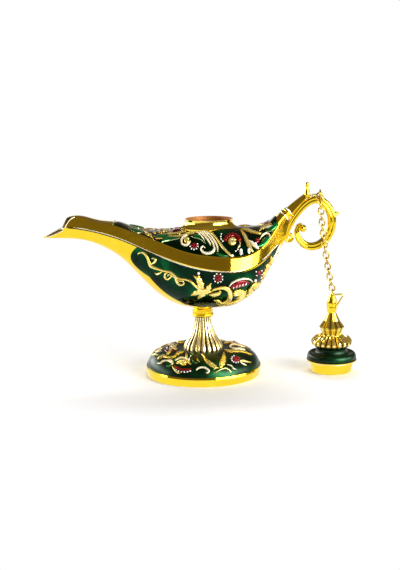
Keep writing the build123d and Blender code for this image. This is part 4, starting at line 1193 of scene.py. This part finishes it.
hull_relief()
seam()
spout_mouth()
tongue()
lid_lip()
deck_relief()
beads(
    "handle_knots", "handle_scroll", HANDLE_KNOTS, relief_gold, both=False, sunk=HANDLE_KNOTS_SUNK
)
foot_relief()


# Studio

WHITE = (1.0, 1.0, 1.0)
# Floor: its rings in millimetres, the points of a ring, its paper's tones and grain, and the
# distances in metres between which it turns to plain white for the lens
FLOOR_RINGS = (0.0, 200.0, 400.0, 650.0)
FLOOR_POINTS = 65
PAPER_TONES = ((0.0, (0.90, 0.92, 0.96)), (1.0, (0.91, 0.93, 0.97)))
PAPER_GRAIN = 30.0
PAPER_FADE = (0.07, 0.16)
# Room: the way in which its tones rise, where they begin, and the tones
ROOM_LEAN = (0.12, -0.12, 1.0)
ROOM_FOOT = -0.03
ROOM_TONES = (
    (0.0, WHITE), (0.06, (0.17, 0.13, 0.085)), (0.5, (0.15, 0.11, 0.07)),
    (1.0, (0.20, 0.16, 0.12)),
)


def paper():
    """Pale paper. Away from the lamp it shows plain white to the lens, and the plating
    mirrors it as plain white everywhere."""
    material, tree, links, shader = speckled(
        "floor_paper", PAPER_TONES, PAPER_GRAIN, detail=2.0, Roughness=0.9
    )
    far = spread(tree, links, length(tree, links, own_place(tree, links)), *PAPER_FADE)
    path = tree.new("ShaderNodeLightPath")
    seen = worked(tree, links, "MULTIPLY", far, path.outputs["Is Camera Ray"])
    share = worked(tree, links, "MAXIMUM", seen, path.outputs["Is Glossy Ray"])
    glow = tree.new("ShaderNodeEmission")
    glow.inputs["Color"].default_value = (*WHITE, 1.0)
    mix = tree.new("ShaderNodeMixShader")
    links.new(share, mix.inputs["Fac"])
    links.new(shader.outputs["BSDF"], mix.inputs[1])
    links.new(glow.outputs["Emission"], mix.inputs[2])
    links.new(mix.outputs["Shader"], tree["Material Output"].inputs["Surface"])
    return material


def studio():
    """Round floor of paper from rings of points, the first of which is joined into one."""
    turn = np.linspace(0, 2 * np.pi, FLOOR_POINTS)
    out = np.array(FLOOR_RINGS)
    grid = np.stack([
        out[:, None] * np.cos(turn), out[:, None] * np.sin(turn),
        np.zeros((len(out), FLOOR_POINTS)),
    ], axis=-1)
    mesh = bpy.data.meshes.new("floor")
    faces = grid_quads(len(out), FLOOR_POINTS)
    mesh.from_pydata((grid.reshape(-1, 3) * METRES).tolist(), [], faces.tolist())
    work = bmesh.new()
    work.from_mesh(mesh)
    bmesh.ops.remove_doubles(work, verts=work.verts, dist=JOINED)
    work.to_mesh(mesh)
    work.free()
    mesh.materials.append(paper())
    floor = bpy.data.objects.new("floor", mesh)
    bpy.context.scene.collection.objects.link(floor)


def surroundings():
    """White to the lens. For all else white below a plane that leans down towards the lens,
    and a dark warm room over it."""
    world = bpy.data.worlds.new("studio")
    world.use_nodes = True
    tree, links = world.node_tree.nodes, world.node_tree.links
    way = tree.new("ShaderNodeTexCoord")
    level = tree.new("ShaderNodeVectorMath")
    level.operation = "DOT_PRODUCT"
    links.new(way.outputs["Generated"], level.inputs[0])
    level.inputs[1].default_value = ROOM_LEAN
    rise = spread(tree, links, level.outputs["Value"], ROOM_FOOT, 1.0)
    room = colours(tree, links, rise, ROOM_TONES)
    path = tree.new("ShaderNodeLightPath")
    shown = blend(tree, links, path.outputs["Is Camera Ray"], room, WHITE)
    links.new(shown, tree["Background"].inputs["Color"])
    bpy.context.scene.world = world


# Lamps. The distance is in millimetres, and the other sizes are in metres, watts, and watts per
# square metre for the glare.
BACK_LAMP_PLACE = (0.0, 0.75, 1.05)
BACK_LAMP_AIM = (0, 0, 0.05)
BACK_LAMP_SIZE = (1.3, 0.5)
BACK_LAMP_POWER = 12.5
# Soft lamps between the places that two points of the photograph's highlights mirror: name,
# node, first and last point, height and glare
HIGHLIGHTS = (
    ("band_lamp", "deck_shell", (231.5, 263.5), (252.5, 262.0), 0.45, 9.0),
    ("neck_left_lamp", "neck_collar", (184.5, 222.0), (198.5, 223.0), 0.25, 6.0),
    ("neck_right_lamp", "neck_collar", (217.5, 223.0), (227.5, 222.5), 0.25, 6.0),
)
LAMP_DISTANCE = 850.0
LAMP_WIDEST = 1.3
LAMP_LOWEST = 0.10
LAMP_AIM = (0, 0, 0.06)


def mirrored(spot, name, distance):
    """Place in metres, at a distance from the lamp, that the plating of a node mirrors to the
    lens at a point of the picture."""
    place, slope = land(np.array([spot], dtype=float), name)
    way = unit(place - lens)
    out = way - 2 * (way * slope).sum(axis=-1, keepdims=True) * slope
    return (place + out * distance)[0] * METRES


def lamp(name, place, aim, size, power, mirrors=True):
    """Rectangular soft lamp at a place in metres, facing a point. It may be left out of what
    the plating mirrors."""
    data = bpy.data.lights.new(name, "AREA")
    data.shape = "RECTANGLE"
    data.size, data.size_y = size
    data.energy = power
    light = bpy.data.objects.new(name, data)
    bpy.context.scene.collection.objects.link(light)
    light.location = place
    light.visible_glossy = mirrors
    light.rotation_euler = (Vector(aim) - Vector(place)).to_track_quat("-Z", "Y").to_euler()


def highlight(name, node, first, last, tall, glare):
    """Lamp as wide as what its highlight spans, and clear of the floor."""
    first, last = mirrored(first, node, LAMP_DISTANCE), mirrored(last, node, LAMP_DISTANCE)
    wide = min(float(np.linalg.norm(last - first)), LAMP_WIDEST)
    middle = (first + last) / 2
    middle = middle / np.linalg.norm(middle) * LAMP_DISTANCE * METRES
    middle[2] = max(middle[2], tall / 2 + LAMP_LOWEST)
    lamp(name, tuple(middle), LAMP_AIM, (wide, tall), glare * math.pi * wide * tall)


studio()
surroundings()
lamp("back_lamp", BACK_LAMP_PLACE, BACK_LAMP_AIM, BACK_LAMP_SIZE, BACK_LAMP_POWER, mirrors=False)
for row in HIGHLIGHTS:
    highlight(*row)
